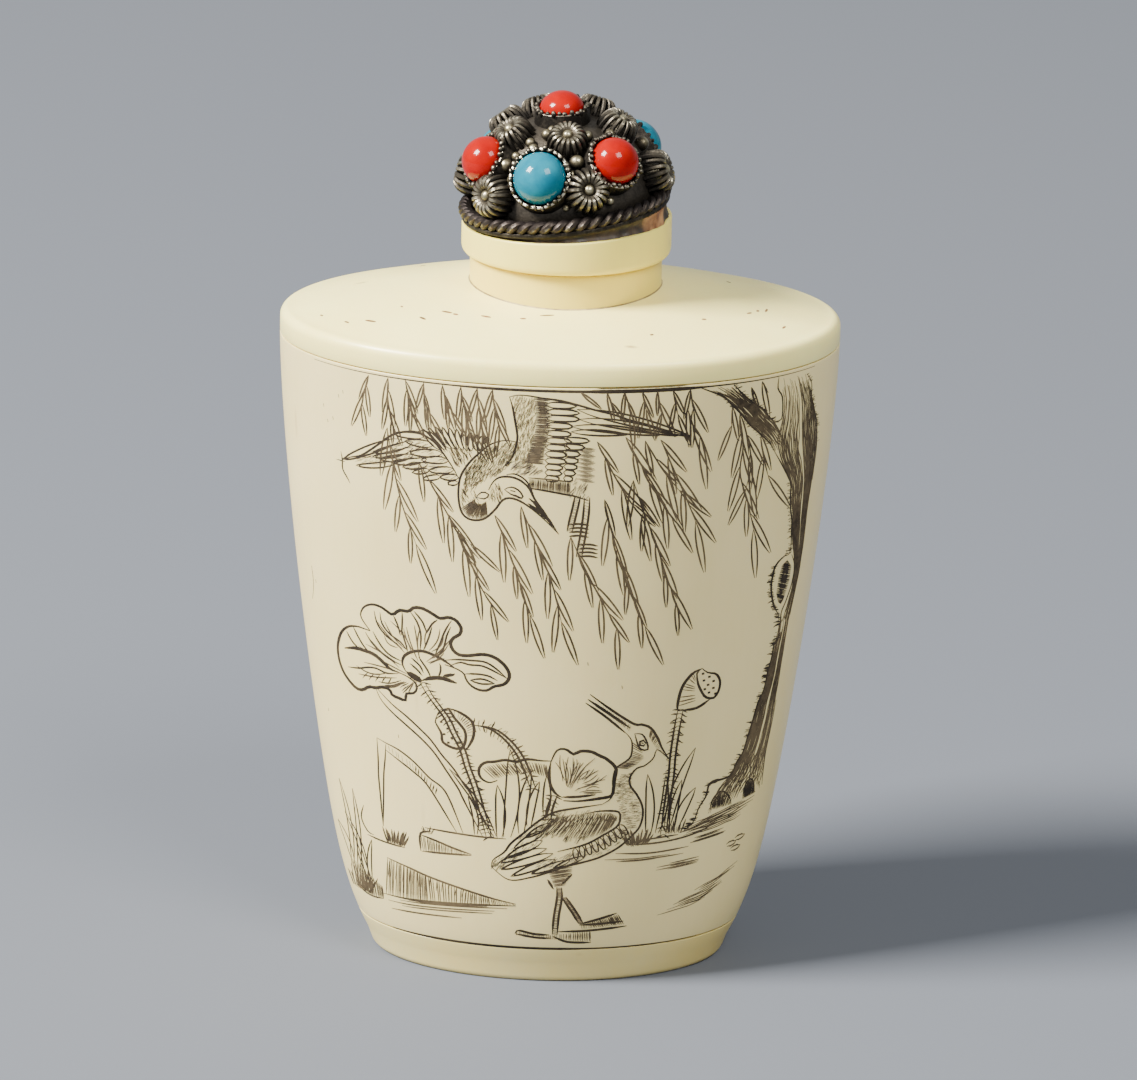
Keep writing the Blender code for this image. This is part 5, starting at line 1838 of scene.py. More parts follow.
pore_dirt = ink_material("pore_dirt", (0.10, 0.045, 0.018, 1), (0.24, 0.12, 0.05, 1), 1.0)


def pores_mesh():
    """Small stretched forms, sunk into the domed top of the plate."""
    chance = random.Random(6)
    shape = bmesh.new()
    for x, y, length in PLATE_PORES:
        x, y = x * MM, y * MM
        dome = 1 - (x / PLATE_INNER) ** 2 - (y / (PLATE_INNER * DEPTH_RATIO)) ** 2
        slope = Vector((x / PLATE_INNER**2, y / (PLATE_INNER * DEPTH_RATIO) ** 2, 0.5 / PLATE_CROWN))
        place = Matrix.Translation((x, y, PLATE_RIM + PLATE_CROWN * dome))
        place = place @ slope.to_track_quat("Z", "Y").to_matrix().to_4x4()
        place = place @ Matrix.Rotation(chance.uniform(-0.3, 0.3), 4, "Z")
        width = PORE_WIDTH * chance.uniform(0.7, 1.3)
        place = place @ Matrix.Diagonal((length * MM / 2, width, PORE_LIFT, 1))
        bmesh.ops.create_icosphere(shape, subdivisions=2, radius=1, matrix=place)
    mesh = bpy.data.meshes.new("shoulder_pores")
    shape.to_mesh(mesh)
    shape.free()
    return mesh


def neck_line_mesh():
    """A thin bead round the neck's base, which rides up and down on the oval dome."""
    corners = ((-0.03, 0.09), (-0.03, -0.05), (0.13, -0.05), (0.09, 0.03))
    rings = [round_corner(NECK_RADIUS + out * MM, PLATE_RIM + rise * MM)[:3] for out, rise in corners]
    rings.append(rings[0])
    dome = (PLATE_CROWN, PLATE_INNER, PLATE_INNER * DEPTH_RATIO)
    domed = [1.0] * len(rings)
    return turned("neck_line", rings, grease, ROUND_STEPS, NECK_CENTRE, domed=domed, dome=dome)


finish_piece("shoulder_pores", pores_mesh(), pore_dirt)
finish_piece("neck_line", neck_line_mesh(), grease)

# %% [markdown]
# The cap sits askew on its glue, tilted from the collar's own slanted top to the left and a
# little towards the front. All its pieces are made upright about their own axis first, and
# then one matrix puts them in place, so that the ornaments can be set out by azimuth and
# angle up the dome, as a silversmith would. on_cap() gives the frame of one place on the
# dome, with its Z axis straight out.

# %% The cap's place, and places on it
CAP_RADIUS = 8.4 * MM
CAP_SKIRT = 1.2 * MM
CAP_RISE = 7.6 * MM
CAP_WALL = 0.8 * MM
FLANGE_RADIUS = 9.7 * MM
FLANGE_THICKNESS = 0.4 * MM
CAP_TILT_LEFT = math.radians(4.3)
CAP_TILT_FORWARD = math.radians(2.0)
CAP_SHIFT = -0.05 * MM
CAP_LOW_GAP = 0.2 * MM

collar_top_place = Matrix.Translation((NECK_CENTRE, 0, COLLAR_TOP))
collar_top_place = collar_top_place @ Matrix.Rotation(-COLLAR_SLANT, 4, "Y")


def cap_on_collar():
    """Place of the cap's rim plane on the collar's top: tilted, and touching down on one side."""
    tilt = Matrix.Rotation(-CAP_TILT_LEFT, 4, "Y") @ Matrix.Rotation(CAP_TILT_FORWARD, 4, "X")
    axis = tilt @ Vector((0, 0, 1))
    drop = FLANGE_RADIUS * math.hypot(axis.x, axis.y)
    return Matrix.Translation((CAP_SHIFT, 0, CAP_LOW_GAP + drop)) @ tilt


cap_place = collar_top_place @ cap_on_collar()


def cap_normal(point):
    """The direction straight out of the dome, at a point near it."""
    above = max(point.z - CAP_SKIRT, 0)
    return Vector((point.x / CAP_RADIUS**2, point.y / CAP_RADIUS**2, above / CAP_RISE**2)).normalized()


def on_cap(azimuth, angle, height=0.0):
    """A frame on the dome, by degrees from the front towards +X and degrees up the dome."""
    azimuth = math.radians(azimuth)
    angle = math.radians(angle)
    out = Vector((math.sin(azimuth), -math.cos(azimuth), 0))
    place = out * CAP_RADIUS * math.cos(angle)
    place.z = CAP_SKIRT + CAP_RISE * math.sin(angle)
    normal = out * (math.cos(angle) / CAP_RADIUS)
    normal.z = math.sin(angle) / CAP_RISE
    normal.normalize()
    turn = normal.to_track_quat("Z", "Y").to_matrix().to_4x4()
    return Matrix.Translation(place + normal * height) @ turn


print("cap centre in mm:", [round(value / MM, 2) for value in cap_place.translation])

# %% [markdown]
# Old silver is dark where nothing rubs it and pale on everything that stands proud. A mask
# read from the shape itself tells the two apart: worn_mesh() writes an attribute, worn, on
# every point, from how far it stands off the dome and how squarely it faces outwards. The
# Pointiness output would be less work, but it depends on how dense the mesh is.
# The shader group worn_silver breaks that mask up with noise and gives colour and roughness.

# %% Old silver
def worn_silver_group():
    tree, start, end = new_tree(
        "worn_silver",
        "ShaderNodeTree",
        (
            ("Place", VECTOR, None),
            ("Worn", NUMBER, 0.5),
            ("Dark", COLOUR, (0.05, 0.042, 0.033, 1)),
            ("Middle", COLOUR, (0.20, 0.17, 0.13, 1)),
            ("Bright", COLOUR, (0.80, 0.74, 0.56, 1)),
        ),
        (("Colour", COLOUR), ("Roughness", NUMBER), ("Height", NUMBER)),
    )
    patches = noise(tree, start["Place"], 900.0, 3.0, 0.6)
    specks = noise(tree, start["Place"], 4200.0, 2.0, 0.6)
    broken = plus(tree, times(tree, patches, 0.7), times(tree, specks, 0.45))
    worn = plus(tree, start["Worn"], minus(tree, broken, 0.575))
    low = ramp(tree, worn, 0.10, 0.50)
    high = ramp(tree, worn, 0.55, 0.95)
    colour = blend_colour(tree, low, start["Dark"], start["Middle"])
    colour = blend_colour(tree, high, colour, start["Bright"])
    fill(tree, end, "Colour", colour)
    fill(tree, end, "Roughness", ramp(tree, worn, 0.2, 0.95, 0.55, 0.26))
    fill(tree, end, "Height", broken)
    return tree


worn_silver = worn_silver_group()


def silver_material(name, dark, middle, bright):
    material, tree, shader, place = new_material(name)
    worn = put(tree, "ShaderNodeAttribute", attribute_name="worn").outputs["Fac"]
    inputs = {"Place": place, "Worn": worn, "Dark": dark, "Middle": middle, "Bright": bright}
    look = group(tree, worn_silver, inputs)
    normal = bump(tree, look["Height"], 0.7, 0.1 * MM)
    looks = {"Base Color": look["Colour"], "Roughness": look["Roughness"], "Normal": normal}
    fill_all(tree, shader, {**looks, "Metallic": 0.9})
    return material


DARK_SILVER = (0.022, 0.019, 0.016, 1)
MIDDLE_SILVER = (0.10, 0.085, 0.066, 1)
BRIGHT_SILVER = (0.82, 0.76, 0.58, 1)
silver = silver_material("old_silver", DARK_SILVER, MIDDLE_SILVER, BRIGHT_SILVER)
WIRE_TONES = (DARK_SILVER, (0.095, 0.082, 0.061, 1), (0.44, 0.40, 0.29, 1))
ROPE_TONES = ((0.018, 0.014, 0.013, 1), (0.060, 0.048, 0.040, 1), (0.45, 0.41, 0.30, 1))
BEAD_TONES = ((0.05, 0.042, 0.030, 1), (0.17, 0.145, 0.09, 1), (0.50, 0.45, 0.29, 1))
wire_silver = silver_material("wire_silver", *WIRE_TONES)
rope_silver = silver_material("rope_silver", *ROPE_TONES)
bead_silver = silver_material("bead_silver", *BEAD_TONES)

RAISED = 1.3 * MM
FLANGE_WEAR = 0.3


def worn_mesh(mesh, bias=0.0):
    """Write how worn each point is, while the mesh is still upright about the cap's axis."""
    values = []
    for vertex in mesh.vertices:
        outward = cap_normal(vertex.co)
        flat = math.hypot(vertex.co.x, vertex.co.y) / CAP_RADIUS
        tall = max(vertex.co.z - CAP_SKIRT, 0) / CAP_RISE
        height = (math.hypot(flat, tall) - 1) * CAP_RADIUS
        facing = max(vertex.normal.dot(outward), 0.0)
        raised = min(max(height / RAISED, 0.0), 1.0)
        if vertex.co.z < FLANGE_THICKNESS + 0.1 * MM:
            raised *= FLANGE_WEAR
            facing *= FLANGE_WEAR
        worn = bias + 0.55 * facing * raised**0.5 + 0.35 * facing**4 + 0.25 * raised - 0.1
        values.append(min(max(worn, 0.0), 1.0))
    write_numbers(mesh, "worn", values)


def finish_silver(name, mesh, material, bias):
    """Finish a silver piece, whose bias makes it more or less worn as a whole."""
    worn_mesh(mesh, bias)
    mesh.transform(cap_place)
    return finish_piece(name, mesh, material, ["stopper_dome"])


def grow_silver(name, seed_mesh, tree, material, bias, values):
    """Grow a silver piece on the upright cap, and finish it."""
    mesh = grow(name, seed_mesh, tree, {**values, "Material": material})
    return finish_silver(name, mesh, material, bias)


# %% [markdown]
# The shell is a thin dome on a short skirt, with a flat flange below that carries the rope
# wire. It is turned like the bone, but closed at the crown, outside and inside.

# %% Cap shell
DOME_ROWS = 22
SHELL_WEAR = 0.1


def dome_arc(inset):
    """Profile of the dome from its crown to its skirt, moved in by inset."""
    points = []
    for row in range(DOME_ROWS + 1):
        angle = math.pi / 2 * (1 - row / DOME_ROWS)
        radius = (CAP_RADIUS - inset) * math.cos(angle) if row else 0.0
        points.append(round_corner(radius, CAP_SKIRT + (CAP_RISE - inset) * math.sin(angle)))
    return points


def shell_mesh():
    corners = dome_arc(0)
    corners += [
        round_corner(CAP_RADIUS, FLANGE_THICKNESS, 0.15 * MM),
        round_corner(FLANGE_RADIUS, FLANGE_THICKNESS, 0.12 * MM),
        round_corner(FLANGE_RADIUS, 0, 0.12 * MM),
        round_corner(CAP_RADIUS - CAP_WALL, 0),
    ]
    corners += list(reversed(dome_arc(CAP_WALL)))
    return turned("cap_shell", bend(corners), silver, ROUND_STEPS)


finish_silver("cap_shell", shell_mesh(), silver, SHELL_WEAR)

# %% [markdown]
# The rope wire is two wires twisted together and bent into a ring. A tree walks round a
# circle and swings each strand about it, so the number of twists stays an input. An array
# of slanted beads would look similar from afar, but the strands would not run through.

# %% Rope wire
ROPE_RADIUS = 9.28 * MM
ROPE_HEIGHT = 0.9 * MM
STRAND_RADIUS = 0.40 * MM
STRAND_SWING = 0.28 * MM
ROPE_TWISTS = 27
STEPS_PER_TWIST = 12
ROPE_WEAR = -0.38


def rope_tree():
    tree, start, end = geometry_tree(
        "twisted_wire",
        ("Ring Radius", NUMBER, ROPE_RADIUS),
        ("Height", NUMBER, 0.0),
        ("Strand Radius", NUMBER, STRAND_RADIUS),
        ("Swing", NUMBER, STRAND_SWING),
        ("Twists", WHOLE, ROPE_TWISTS),
    )
    count = times(tree, start["Twists"], STEPS_PER_TWIST)
    ring = circle(tree, count, start["Ring Radius"])
    section = circle(tree, 8, start["Strand Radius"])
    share = over(tree, made(tree, "GeometryNodeInputIndex"), count)
    radial = vector_calc(tree, "NORMALIZE", made(tree, "GeometryNodeInputPosition"))
    strands = []
    for strand in range(2):
        turns = plus(tree, times(tree, share, start["Twists"]), strand / 2)
        angle = times(tree, turns, math.tau)
        out = times(tree, calc(tree, "COSINE", angle), start["Swing"])
        rise = times(tree, calc(tree, "SINE", angle), start["Swing"])
        lifted = combine(tree, z=plus(tree, rise, start["Height"]))
        swing = vector_calc(tree, "ADD", scaled(tree, radial, out), lifted)
        path = moved(tree, ring, "Offset", swing)
        strands.append(swept(tree, path, section, caps=False))
    show(tree, start, end, joined(tree, *strands))
    return tree


rope_values = {
    "Ring Radius": ROPE_RADIUS,
    "Height": ROPE_HEIGHT,
    "Strand Radius": STRAND_RADIUS,
    "Swing": STRAND_SWING,
    "Twists": ROPE_TWISTS,
}
rope_seed = bpy.data.meshes.new("rope_seed")
grow_silver("rope_wire", rope_seed, rope_tree(), rope_silver, ROPE_WEAR, rope_values)

# %% [markdown]
# Seven stones sit in bezels round the dome. Each is a high cabochon, turned like the rest and
# carried to its frame. Coral is an even orange red with a faint cloud in it, and the
# turquoise is a greenish blue with paler wisps: both are polished, so a sharp clear coat does
# most of the work, and the colour changes stay small.

# %% Stones
TURQUOISE_RADIUS = 2.45 * MM
CORAL_RADIUS = 2.25 * MM
TOP_CORAL_RADIUS = 2.07 * MM
STONE_BASE = 0.25 * MM
STONE_HEIGHT = 2.75 * MM
TOP_CORAL_HEIGHT = 2.2 * MM
STONES = (
    ("coral_top", 48, 84.5, TOP_CORAL_RADIUS, TOP_CORAL_HEIGHT),
    ("coral_left", -64.5, 35.5, CORAL_RADIUS, STONE_HEIGHT),
    ("turquoise_front", -13, 28.5, TURQUOISE_RADIUS, STONE_HEIGHT),
    ("coral_right", 40, 31, CORAL_RADIUS, STONE_HEIGHT),
    ("turquoise_right", 128, 16.5, TURQUOISE_RADIUS, STONE_HEIGHT),
    ("coral_back", 175, 27, CORAL_RADIUS, STONE_HEIGHT),
    ("turquoise_back", 219, 19, TURQUOISE_RADIUS, STONE_HEIGHT),
)


def stone_material(name, deep, pale, cloud_scale, roughness):
    material, tree, shader, place = new_material(name)
    clouds = ramp(tree, noise(tree, place, cloud_scale, 4.0, 0.6, 0.4), 0.38, 0.72)
    pits = noise(tree, place, 3000.0, 2.0)
    looks = {
        "Base Color": blend_colour(tree, clouds, deep, pale),
        "Roughness": ramp(tree, pits, 0.3, 0.8, roughness, roughness + 0.08),
        "Normal": bump(tree, pits, 0.08, 0.02 * MM),
        "Specular IOR Level": 0.1,
        "Coat Weight": 0.25,
        "Coat Roughness": 0.04,
        "Subsurface Weight": 0.02,
        "Subsurface Radius": (1.0, 0.5, 0.4),
        "Subsurface Scale": 0.8 * MM,
    }
    fill_all(tree, shader, looks)
    return material


CORAL_TONES = ((0.23, 0.0008, 0.0, 1), (0.31, 0.003, 0.0, 1))
TURQUOISE_TONES = ((0.0015, 0.108, 0.165, 1), (0.009, 0.172, 0.235, 1))
coral = stone_material("coral", *CORAL_TONES, 420.0, 0.14)
turquoise = stone_material("turquoise", *TURQUOISE_TONES, 380.0, 0.12)


def stone_mesh(name, radius, height, material):
    """An upright cabochon: a flat base, a short straight side and a domed top."""
    side = height * 0.22
    corners = [round_corner(0, STONE_BASE), round_corner(radius, STONE_BASE, 0.1 * MM)]
    rows = 16
    for row in range(rows + 1):
        angle = math.pi / 2 * row / rows
        width = radius * math.cos(angle) if row < rows else 0.0
        corners.append(round_corner(width, STONE_BASE + side + (height - side) * math.sin(angle)))
    return turned(name, bend(corners), material, 64)


for name, azimuth, angle, radius, height in STONES:
    is_coral = name.startswith("coral")
    material = coral if is_coral else turquoise
    mesh = stone_mesh(name, radius, height, material)
    mesh.transform(cap_place @ on_cap(azimuth, angle))
    finish_piece("stone_" + name, mesh, material, [name])

# %% [markdown]
# A bezel is a thin strip bent round its stone, with its upper edge cut into teeth that are
# pushed over the stone. Its wall is turned, like the stone. The teeth repeat round a ring
# whose size changes from stone to stone, which is work for Geometry Nodes: one tree sets them
# all, on one seed point for each stone, which carries the ring's radius and direction.

# %% Bezels
BEZEL_WALL = 0.3 * MM
BEZEL_GAP = 0.16 * MM
BEZEL_ROOT = 1.3 * MM
BEZEL_HEIGHT = 0.95 * MM
BEZEL_TEETH = 26
TOOTH_RADIUS = 0.33 * MM
TOOTH_WOBBLE = 0.12 * MM
WALL_WEAR = -0.15
TEETH_WEAR = -0.26


def seeds(name, places, **attributes):
    """A mesh of seed points on the dome, with a direction and more attributes on each."""
    mesh = bpy.data.meshes.new(name)
    mesh.from_pydata([place.translation for place in places], [], [])
    facing = mesh.attributes.new("facing", "FLOAT_VECTOR", "POINT")
    for item, place in zip(facing.data, places):
        item.vector = place.to_3x3() @ Vector((0, 0, 1))
    for key, values in attributes.items():
        write_numbers(mesh, key, values)
    return mesh


def facing_rotation(tree, spin=None):
    """A rotation that lays Z along the seed's direction, after a spin about Z."""
    outwards = {"Vector": named(tree, "facing", "FLOAT_VECTOR")}
    facing = made(tree, "FunctionNodeAlignRotationToVector", outwards, axis="Z")
    if spin is None:
        return facing
    sockets = {"Rotation": facing, "Rotate By": spin}
    return made(tree, "FunctionNodeRotateRotation", sockets, rotation_space="LOCAL")


def bezel_tree():
    tree, start, end = geometry_tree(
        "bezels",
        ("Height", NUMBER, BEZEL_HEIGHT),
        ("Teeth", WHOLE, BEZEL_TEETH),
        ("Tooth Radius", NUMBER, TOOTH_RADIUS),
        ("Seed", WHOLE, 1),
    )
    seed = start["Seed"]
    size = named(tree, "ring_radius")
    facing = facing_rotation(tree)
    sockets = {"Curve": circle(tree, 64, 1.0), "Count": start["Teeth"]}
    rim = made(tree, "GeometryNodeResampleCurve", sockets)
    rings = real(tree, copies(tree, start["Geometry"], rim, facing, combine(tree, size, size, 1.0)))
    points = made(tree, "GeometryNodeCurveToPoints", {"Curve": rings}, mode="EVALUATED")
    lift = scaled(tree, named(tree, "facing", "FLOAT_VECTOR"), start["Height"])
    wobble = random_between(tree, (-TOOTH_WOBBLE,) * 3, (TOOTH_WOBBLE,) * 3, seed, "FLOAT_VECTOR")
    lifted = moved(tree, points, "Offset", vector_calc(tree, "ADD", lift, wobble))
    stretch = combine(
        tree,
        random_between(tree, 0.6, 1.05, seed),
        random_between(tree, 0.6, 1.05, plus(tree, seed, 1)),
        random_between(tree, 0.6, 1.3, plus(tree, seed, 2)),
    )
    tooth = ball(tree, 7, 5, start["Tooth Radius"])
    show(tree, start, end, copies(tree, lifted, tooth, facing, stretch))
    return tree


def bezel_wall(radius, place):
    inner = radius + BEZEL_GAP
    outer = inner + BEZEL_WALL
    corners = [
        round_corner(outer, BEZEL_HEIGHT, 0.1 * MM),
        round_corner(outer + 0.12 * MM, -BEZEL_ROOT),
        round_corner(inner, -BEZEL_ROOT),
        round_corner(inner, BEZEL_HEIGHT, 0.1 * MM),
    ]
    mesh = turned("bezel_wall", bend(corners, closed=True), silver, 48)
    mesh.transform(place)
    return mesh


def join_meshes(name, meshes):
    """One mesh from several, which keep their own shells."""
    shape = bmesh.new()
    for mesh in meshes:
        shape.from_mesh(mesh)
    whole = bpy.data.meshes.new(name)
    shape.to_mesh(whole)
    shape.free()
    return whole


stone_frames = [on_cap(azimuth, angle) for _, azimuth, angle, _, _ in STONES]
walls = [bezel_wall(radius, place) for (_, _, _, radius, _), place in zip(STONES, stone_frames)]
finish_silver("bezel_walls", join_meshes("bezel_walls", walls), silver, WALL_WEAR)
ring_radii = [radius + BEZEL_GAP + BEZEL_WALL * 0.5 for _, _, _, radius, _ in STONES]
teeth_seeds = seeds("bezel_seeds", stone_frames, ring_radius=ring_radii)
teeth_values = {
    "Height": BEZEL_HEIGHT,
    "Teeth": BEZEL_TEETH,
    "Tooth Radius": TOOTH_RADIUS,
    "Seed": 5,
}
grow_silver("bezel_teeth", teeth_seeds, bezel_tree(), wire_silver, TEETH_WEAR, teeth_values)

# %% [markdown]
# Between the bezels stand small daisies: loops of wire bent over from a bead in the middle
# down to the dome, like the ribs of a melon. One petal is a bent tube. The tree sets petals
# round a ring, and the daisy that results on every seed point, each turned a little
# differently. The seed points follow the maker's spacing, which isn't quite even.

# %% Rosettes
LOWER_ROSETTES = ((-47, 16), (16, 18), (80, 12), (152, 12), (197, 12), (256, 16))
UPPER_ROSETTES = ((-57, 58), (11, 54), (80, 50), (131, 57), (200, 62), (245, 56))
LOWER_ROSETTE_SIZE = 1.92
UPPER_ROSETTE_SIZE = 1.7
PETALS = 17
PETAL_WIRE = 0.12
ROSETTE_WEAR = -0.05


def rosette_tree():
    """Daisies of radius 1, which the seed points scale."""
    tree, start, end = geometry_tree(
        "rosettes",
        ("Petals", WHOLE, PETALS),
        ("Wire Radius", NUMBER, PETAL_WIRE),
        ("Seed", WHOLE, 1),
    )
    bent = {
        "Resolution": 9,
        "Start": (0.30, 0, 0.62),
        "Start Handle": (0.50, 0, 1.18),
        "End Handle": (1.05, 0, 1.02),
        "End": (1.02, 0, -0.10),
    }
    arch = made(tree, "GeometryNodeCurvePrimitiveBezierSegment", bent)
    petal = swept(tree, arch, circle(tree, 6, start["Wire Radius"]))
    ring = made(tree, "GeometryNodeMeshCircle", {"Vertices": start["Petals"], "Radius": 0.0001})
    share = over(tree, made(tree, "GeometryNodeInputIndex"), start["Petals"])
    petals = copies(tree, ring, petal, combine(tree, z=times(tree, share, math.tau)))
    cone = {"Vertices": 20, "Radius Top": 0.25, "Radius Bottom": 0.95, "Depth": 0.95}
    heart = made(tree, "GeometryNodeMeshCone", cone)
    lowered = {"Geometry": heart, "Translation": (0, 0, -0.3)}
    heart = made(tree, "GeometryNodeTransform", lowered)
    daisy = real(tree, joined(tree, petals, heart))
    spin = combine(tree, z=random_between(tree, 0.0, math.tau, start["Seed"]))
    facing = facing_rotation(tree, spin)
    show(tree, start, end, copies(tree, start["Geometry"], daisy, facing, named(tree, "size")))
    return tree


rosette_frames = [on_cap(*place) for place in LOWER_ROSETTES + UPPER_ROSETTES]
rosette_sizes = [LOWER_ROSETTE_SIZE * MM] * len(LOWER_ROSETTES)
rosette_sizes += [UPPER_ROSETTE_SIZE * MM] * len(UPPER_ROSETTES)
rosette_seeds = seeds("rosette_seeds", rosette_frames, size=rosette_sizes)
rosette_values = {"Petals": PETALS, "Wire Radius": PETAL_WIRE, "Seed": 3}
grow_silver("rosettes", rosette_seeds, rosette_tree(), wire_silver, ROSETTE_WEAR, rosette_values)

# %% [markdown]
# Granules are tiny balls of silver, soldered on where wires meet. One sits in the middle of
# each rosette and one in each wide gap between two bezels. Smaller ones, each of its own
# size, stand for the small scrolls of wire between the ornaments. They differ only in place
# and size, so one tree sets them all.

# %% Granules
GAP_BEADS = ((-44, 37), (14, 38), (92, 30), (151, 38), (198, 40), (-96, 34))
SMALL_BEADS = (
    (-92, 52, 1.35), (-104, 44, 1.3), (-84, 42, 1.1), (-23, 50, 1.0), (-29, 55, 0.9), (34, 55, 1.0),
    (28, 60, 0.9), (-12, 62, 1.0), (20, 66, 0.9), (60, 50, 0.9), (8, 30, 0.9), (22, 31, 0.8), (30, 8, 0.8),
    (-35, 28, 0.9), (-38, 44, 0.8), (60, 20, 0.8), (66, 32, 0.9), (-6, 66, 0.8), (2, 9, 0.7),
    (104, 42, 1.0), (118, 40, 0.9), (172, 52, 1.0), (182, 54, 0.9), (226, 44, 1.0), (236, 40, 0.9),
)
BEAD_RADIUS = 0.55 * MM
BEAD_ROWS = (
    (LOWER_ROSETTES, 1.38 * MM, 1.0),
    (UPPER_ROSETTES, 1.24 * MM, 0.95),
    (GAP_BEADS, 0.35 * MM, 1.25),
)
SMALL_BEAD_HEIGHT = 0.3 * MM


def granule_tree():
    tree, start, end = geometry_tree("granules", ("Radius", NUMBER, BEAD_RADIUS))
    granule = ball(tree, 14, 9, start["Radius"])
    facing = facing_rotation(tree)
    show(tree, start, end, copies(tree, start["Geometry"], granule, facing, named(tree, "size")))
    return tree


bead_frames = []
bead_sizes = []
for places, height, size in BEAD_ROWS:
    bead_frames += [on_cap(azimuth, angle, height) for azimuth, angle in places]
    bead_sizes += [size] * len(places)
for azimuth, angle, size in SMALL_BEADS:
    bead_frames.append(on_cap(azimuth, angle, SMALL_BEAD_HEIGHT))
    bead_sizes.append(size)
bead_seeds = seeds("granule_seeds", bead_frames, size=bead_sizes)
grow_silver("granules", bead_seeds, granule_tree(), bead_silver, 0.0, {"Radius": BEAD_RADIUS})

# %% [markdown]
# The glue that holds the cap fills the wedge between the collar's top and the tilted flange.
# It is turned as a slice with many rows, and then every point is put between the two planes
# by its share of the height. Its rim is drawn in, bulges in and out, and swells into a crust
# at the right, where a lump of resin has run out to the edge of the collar. The attribute
# crust says how far a point belongs to that lump, and turns the seam's colour brown. The
# seam's dark colour is the glue darkened further as painted shade, for the wedge under the flange.

# %% Glue
def glue_material():
    material, tree, shader, place = new_material("old_glue")
    tint = ramp(tree, noise(tree, place, 900.0, 4.0, 0.6), 0.35, 0.7)
    # The seam colours are the glue darkened as painted shade, for the wedge in shadow under the flange.
    seam = blend_colour(tree, tint, (0.020, 0.013, 0.007, 1), (0.070, 0.042, 0.016, 1))
    lump = blend_colour(tree, tint, (0.12, 0.045, 0.016, 1), (0.42, 0.22, 0.10, 1))
    swell = put(tree, "ShaderNodeAttribute", attribute_name="crust").outputs["Fac"]
    looks = {
        "Base Color": blend_colour(tree, ramp(tree, swell, 0.4, 0.95), seam, lump),
        "Roughness": ramp(tree, tint, 0, 1, 0.4, 0.7),
        "Normal": bump(tree, noise(tree, place, 2400.0, 4.0), 0.6, 0.1 * MM),
    }
    fill_all(tree, shader, looks)
    return material


old_glue = glue_material()
GLUE_RADIUS = 9.42 * MM
GLUE_ROWS = 8
GLUE_STEPS = 220
GLUE_MARGIN = 0.01 * MM
GLUE_HOLLOW = 0.22 * MM
CRUST_AZIMUTH = 60
CRUST_HALF_SPAN = 14
CRUST_REACH = 0.42 * MM


def crust(azimuth):
    """How far along its bump the crust is at an azimuth in degrees, from 0 to 1."""
    return max(1 - ((azimuth - CRUST_AZIMUTH) / CRUST_HALF_SPAN) ** 2, 0) ** 0.5


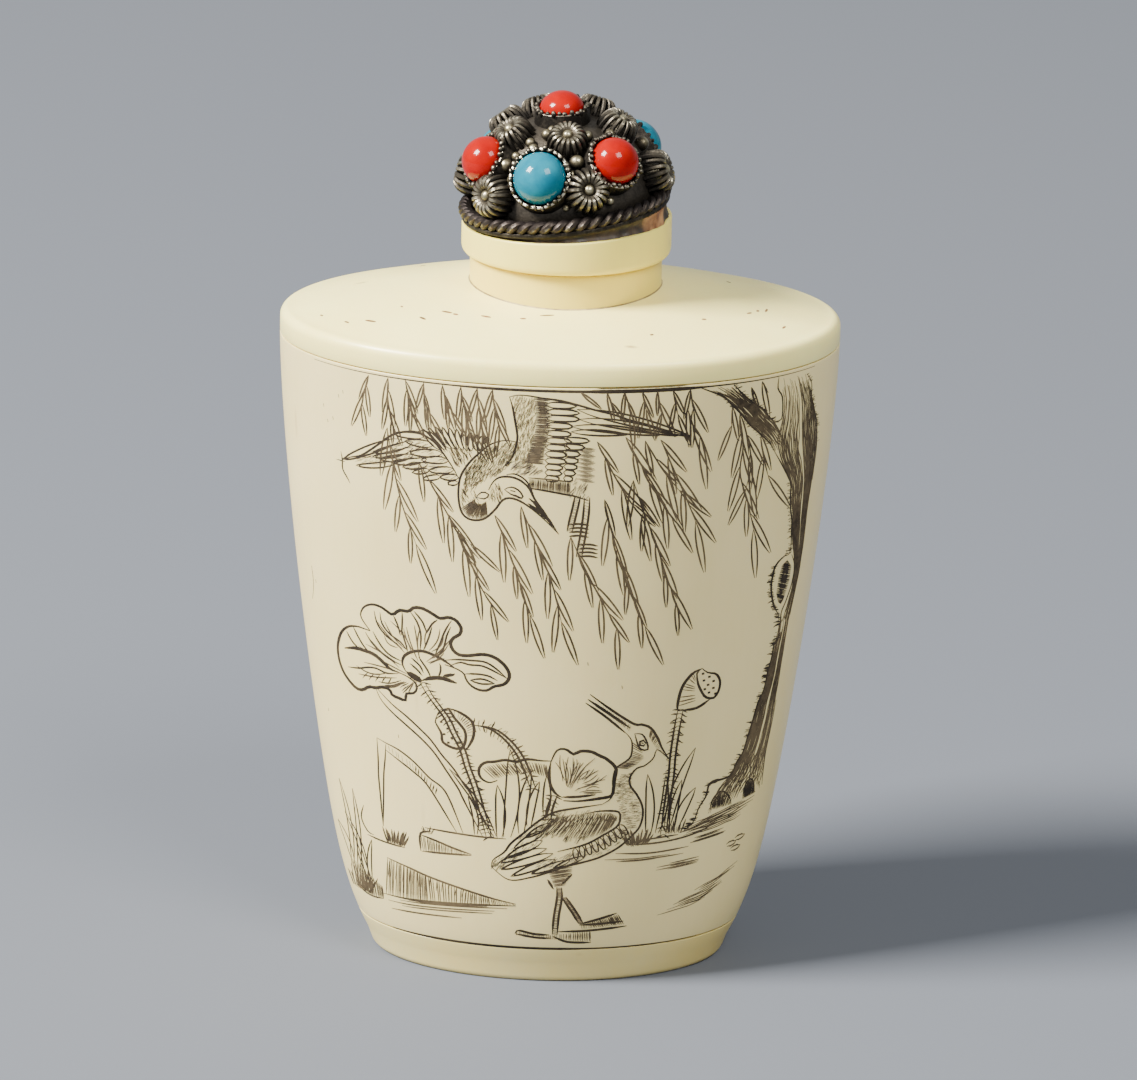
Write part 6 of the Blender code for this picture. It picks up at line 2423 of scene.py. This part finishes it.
def glue_mesh():
    roof = cap_on_collar()
    rim = roof.translation
    normal = roof.to_3x3() @ Vector((0, 0, 1))
    points = [round_corner(0, 0)[:3]]
    points += [round_corner(GLUE_RADIUS, row / GLUE_ROWS)[:3] for row in range(GLUE_ROWS + 1)]
    points.append(round_corner(0, 1)[:3])
    mesh = turned("glue", points, old_glue, GLUE_STEPS)
    for vertex in mesh.vertices:
        share = vertex.co.z
        x, y = vertex.co.x, vertex.co.y
        if math.hypot(x, y) > GLUE_RADIUS / 2:
            azimuth = math.degrees(math.atan2(x, -y))
            ripple = 0.05 * math.sin(azimuth * 0.31) + 0.04 * math.sin(azimuth * 0.83 + 2)
            belly = 1 - (2 * share - 1) ** 2
            reach = -GLUE_HOLLOW * belly + ripple * MM
            reach += crust(azimuth) * CRUST_REACH * (0.6 + 0.4 * belly)
            x *= 1 + reach / GLUE_RADIUS
            y *= 1 + reach / GLUE_RADIUS
        top = rim.z - ((x - rim.x) * normal.x + (y - rim.y) * normal.y) / normal.z - GLUE_MARGIN
        floor = min(GLUE_MARGIN, top / 2)
        vertex.co = (x, y, floor + max(top - floor, GLUE_MARGIN) * share)
    azimuths = [math.degrees(math.atan2(vertex.co.x, -vertex.co.y)) for vertex in mesh.vertices]
    write_numbers(mesh, "crust", [crust(azimuth) for azimuth in azimuths])
    mesh.transform(collar_top_place)
    close_and_turn_out(mesh)
    return mesh


finish_piece("glue", glue_mesh(), old_glue, ["stopper_glue"])

# %% [markdown]
# The stage is a plain pale floor under soft studio light. A big soft key light stands high
# at the left, as the photograph's bright left side and the shadow at the right show. A
# weaker one fills from the front, and the world adds a little grey from everywhere.

# %% Stage and light
FLOOR_SIZE = 6.0
FLOOR_GREY = (0.102, 0.113, 0.135, 1)
LIGHT_AIM = Vector((0, 0, 0.04))
LIGHT_SIZE = 0.42
LIGHTS = (
    ("key", (-0.94, -0.38, 1.0), 96.0, (1.0, 0.97, 0.91)),
    ("fill", (0.42, -0.66, 0.90), 12.0, (1.0, 0.98, 0.94)),
)
SKY_GREY = (0.86, 0.90, 0.95, 1)
SKY_STRENGTH = 0.45


def stage_floor():
    mesh = bpy.data.meshes.new("floor")
    half = FLOOR_SIZE / 2
    corners = [(-half, -half, 0), (half, -half, 0), (half, half, 0), (-half, half, 0)]
    mesh.from_pydata(corners, [], [(0, 1, 2, 3)])
    material, tree, shader, _ = new_material("pale_floor")
    fill_all(tree, shader, {"Base Color": FLOOR_GREY, "Roughness": 0.85})
    mesh.materials.append(material)
    floor = link_object("floor", mesh)


def area_light(name, place, power, colour):
    """A square lamp, aimed at the bottle."""
    data = bpy.data.lights.new(name, "AREA")
    data.shape = "SQUARE"
    data.size = LIGHT_SIZE
    data.energy = power
    data.color = colour
    turn = (LIGHT_AIM - Vector(place)).to_track_quat("-Z", "Y").to_matrix().to_4x4()
    link_object(name, data).matrix_world = Matrix.Translation(place) @ turn


stage_floor()
for light in LIGHTS:
    area_light(*light)
world = bpy.data.worlds.new("studio")
bpy.context.scene.world = world
world.use_nodes = True
background = world.node_tree.nodes["Background"]
fill_all(world.node_tree, background, {"Color": SKY_GREY, "Strength": SKY_STRENGTH})
print("lights set")
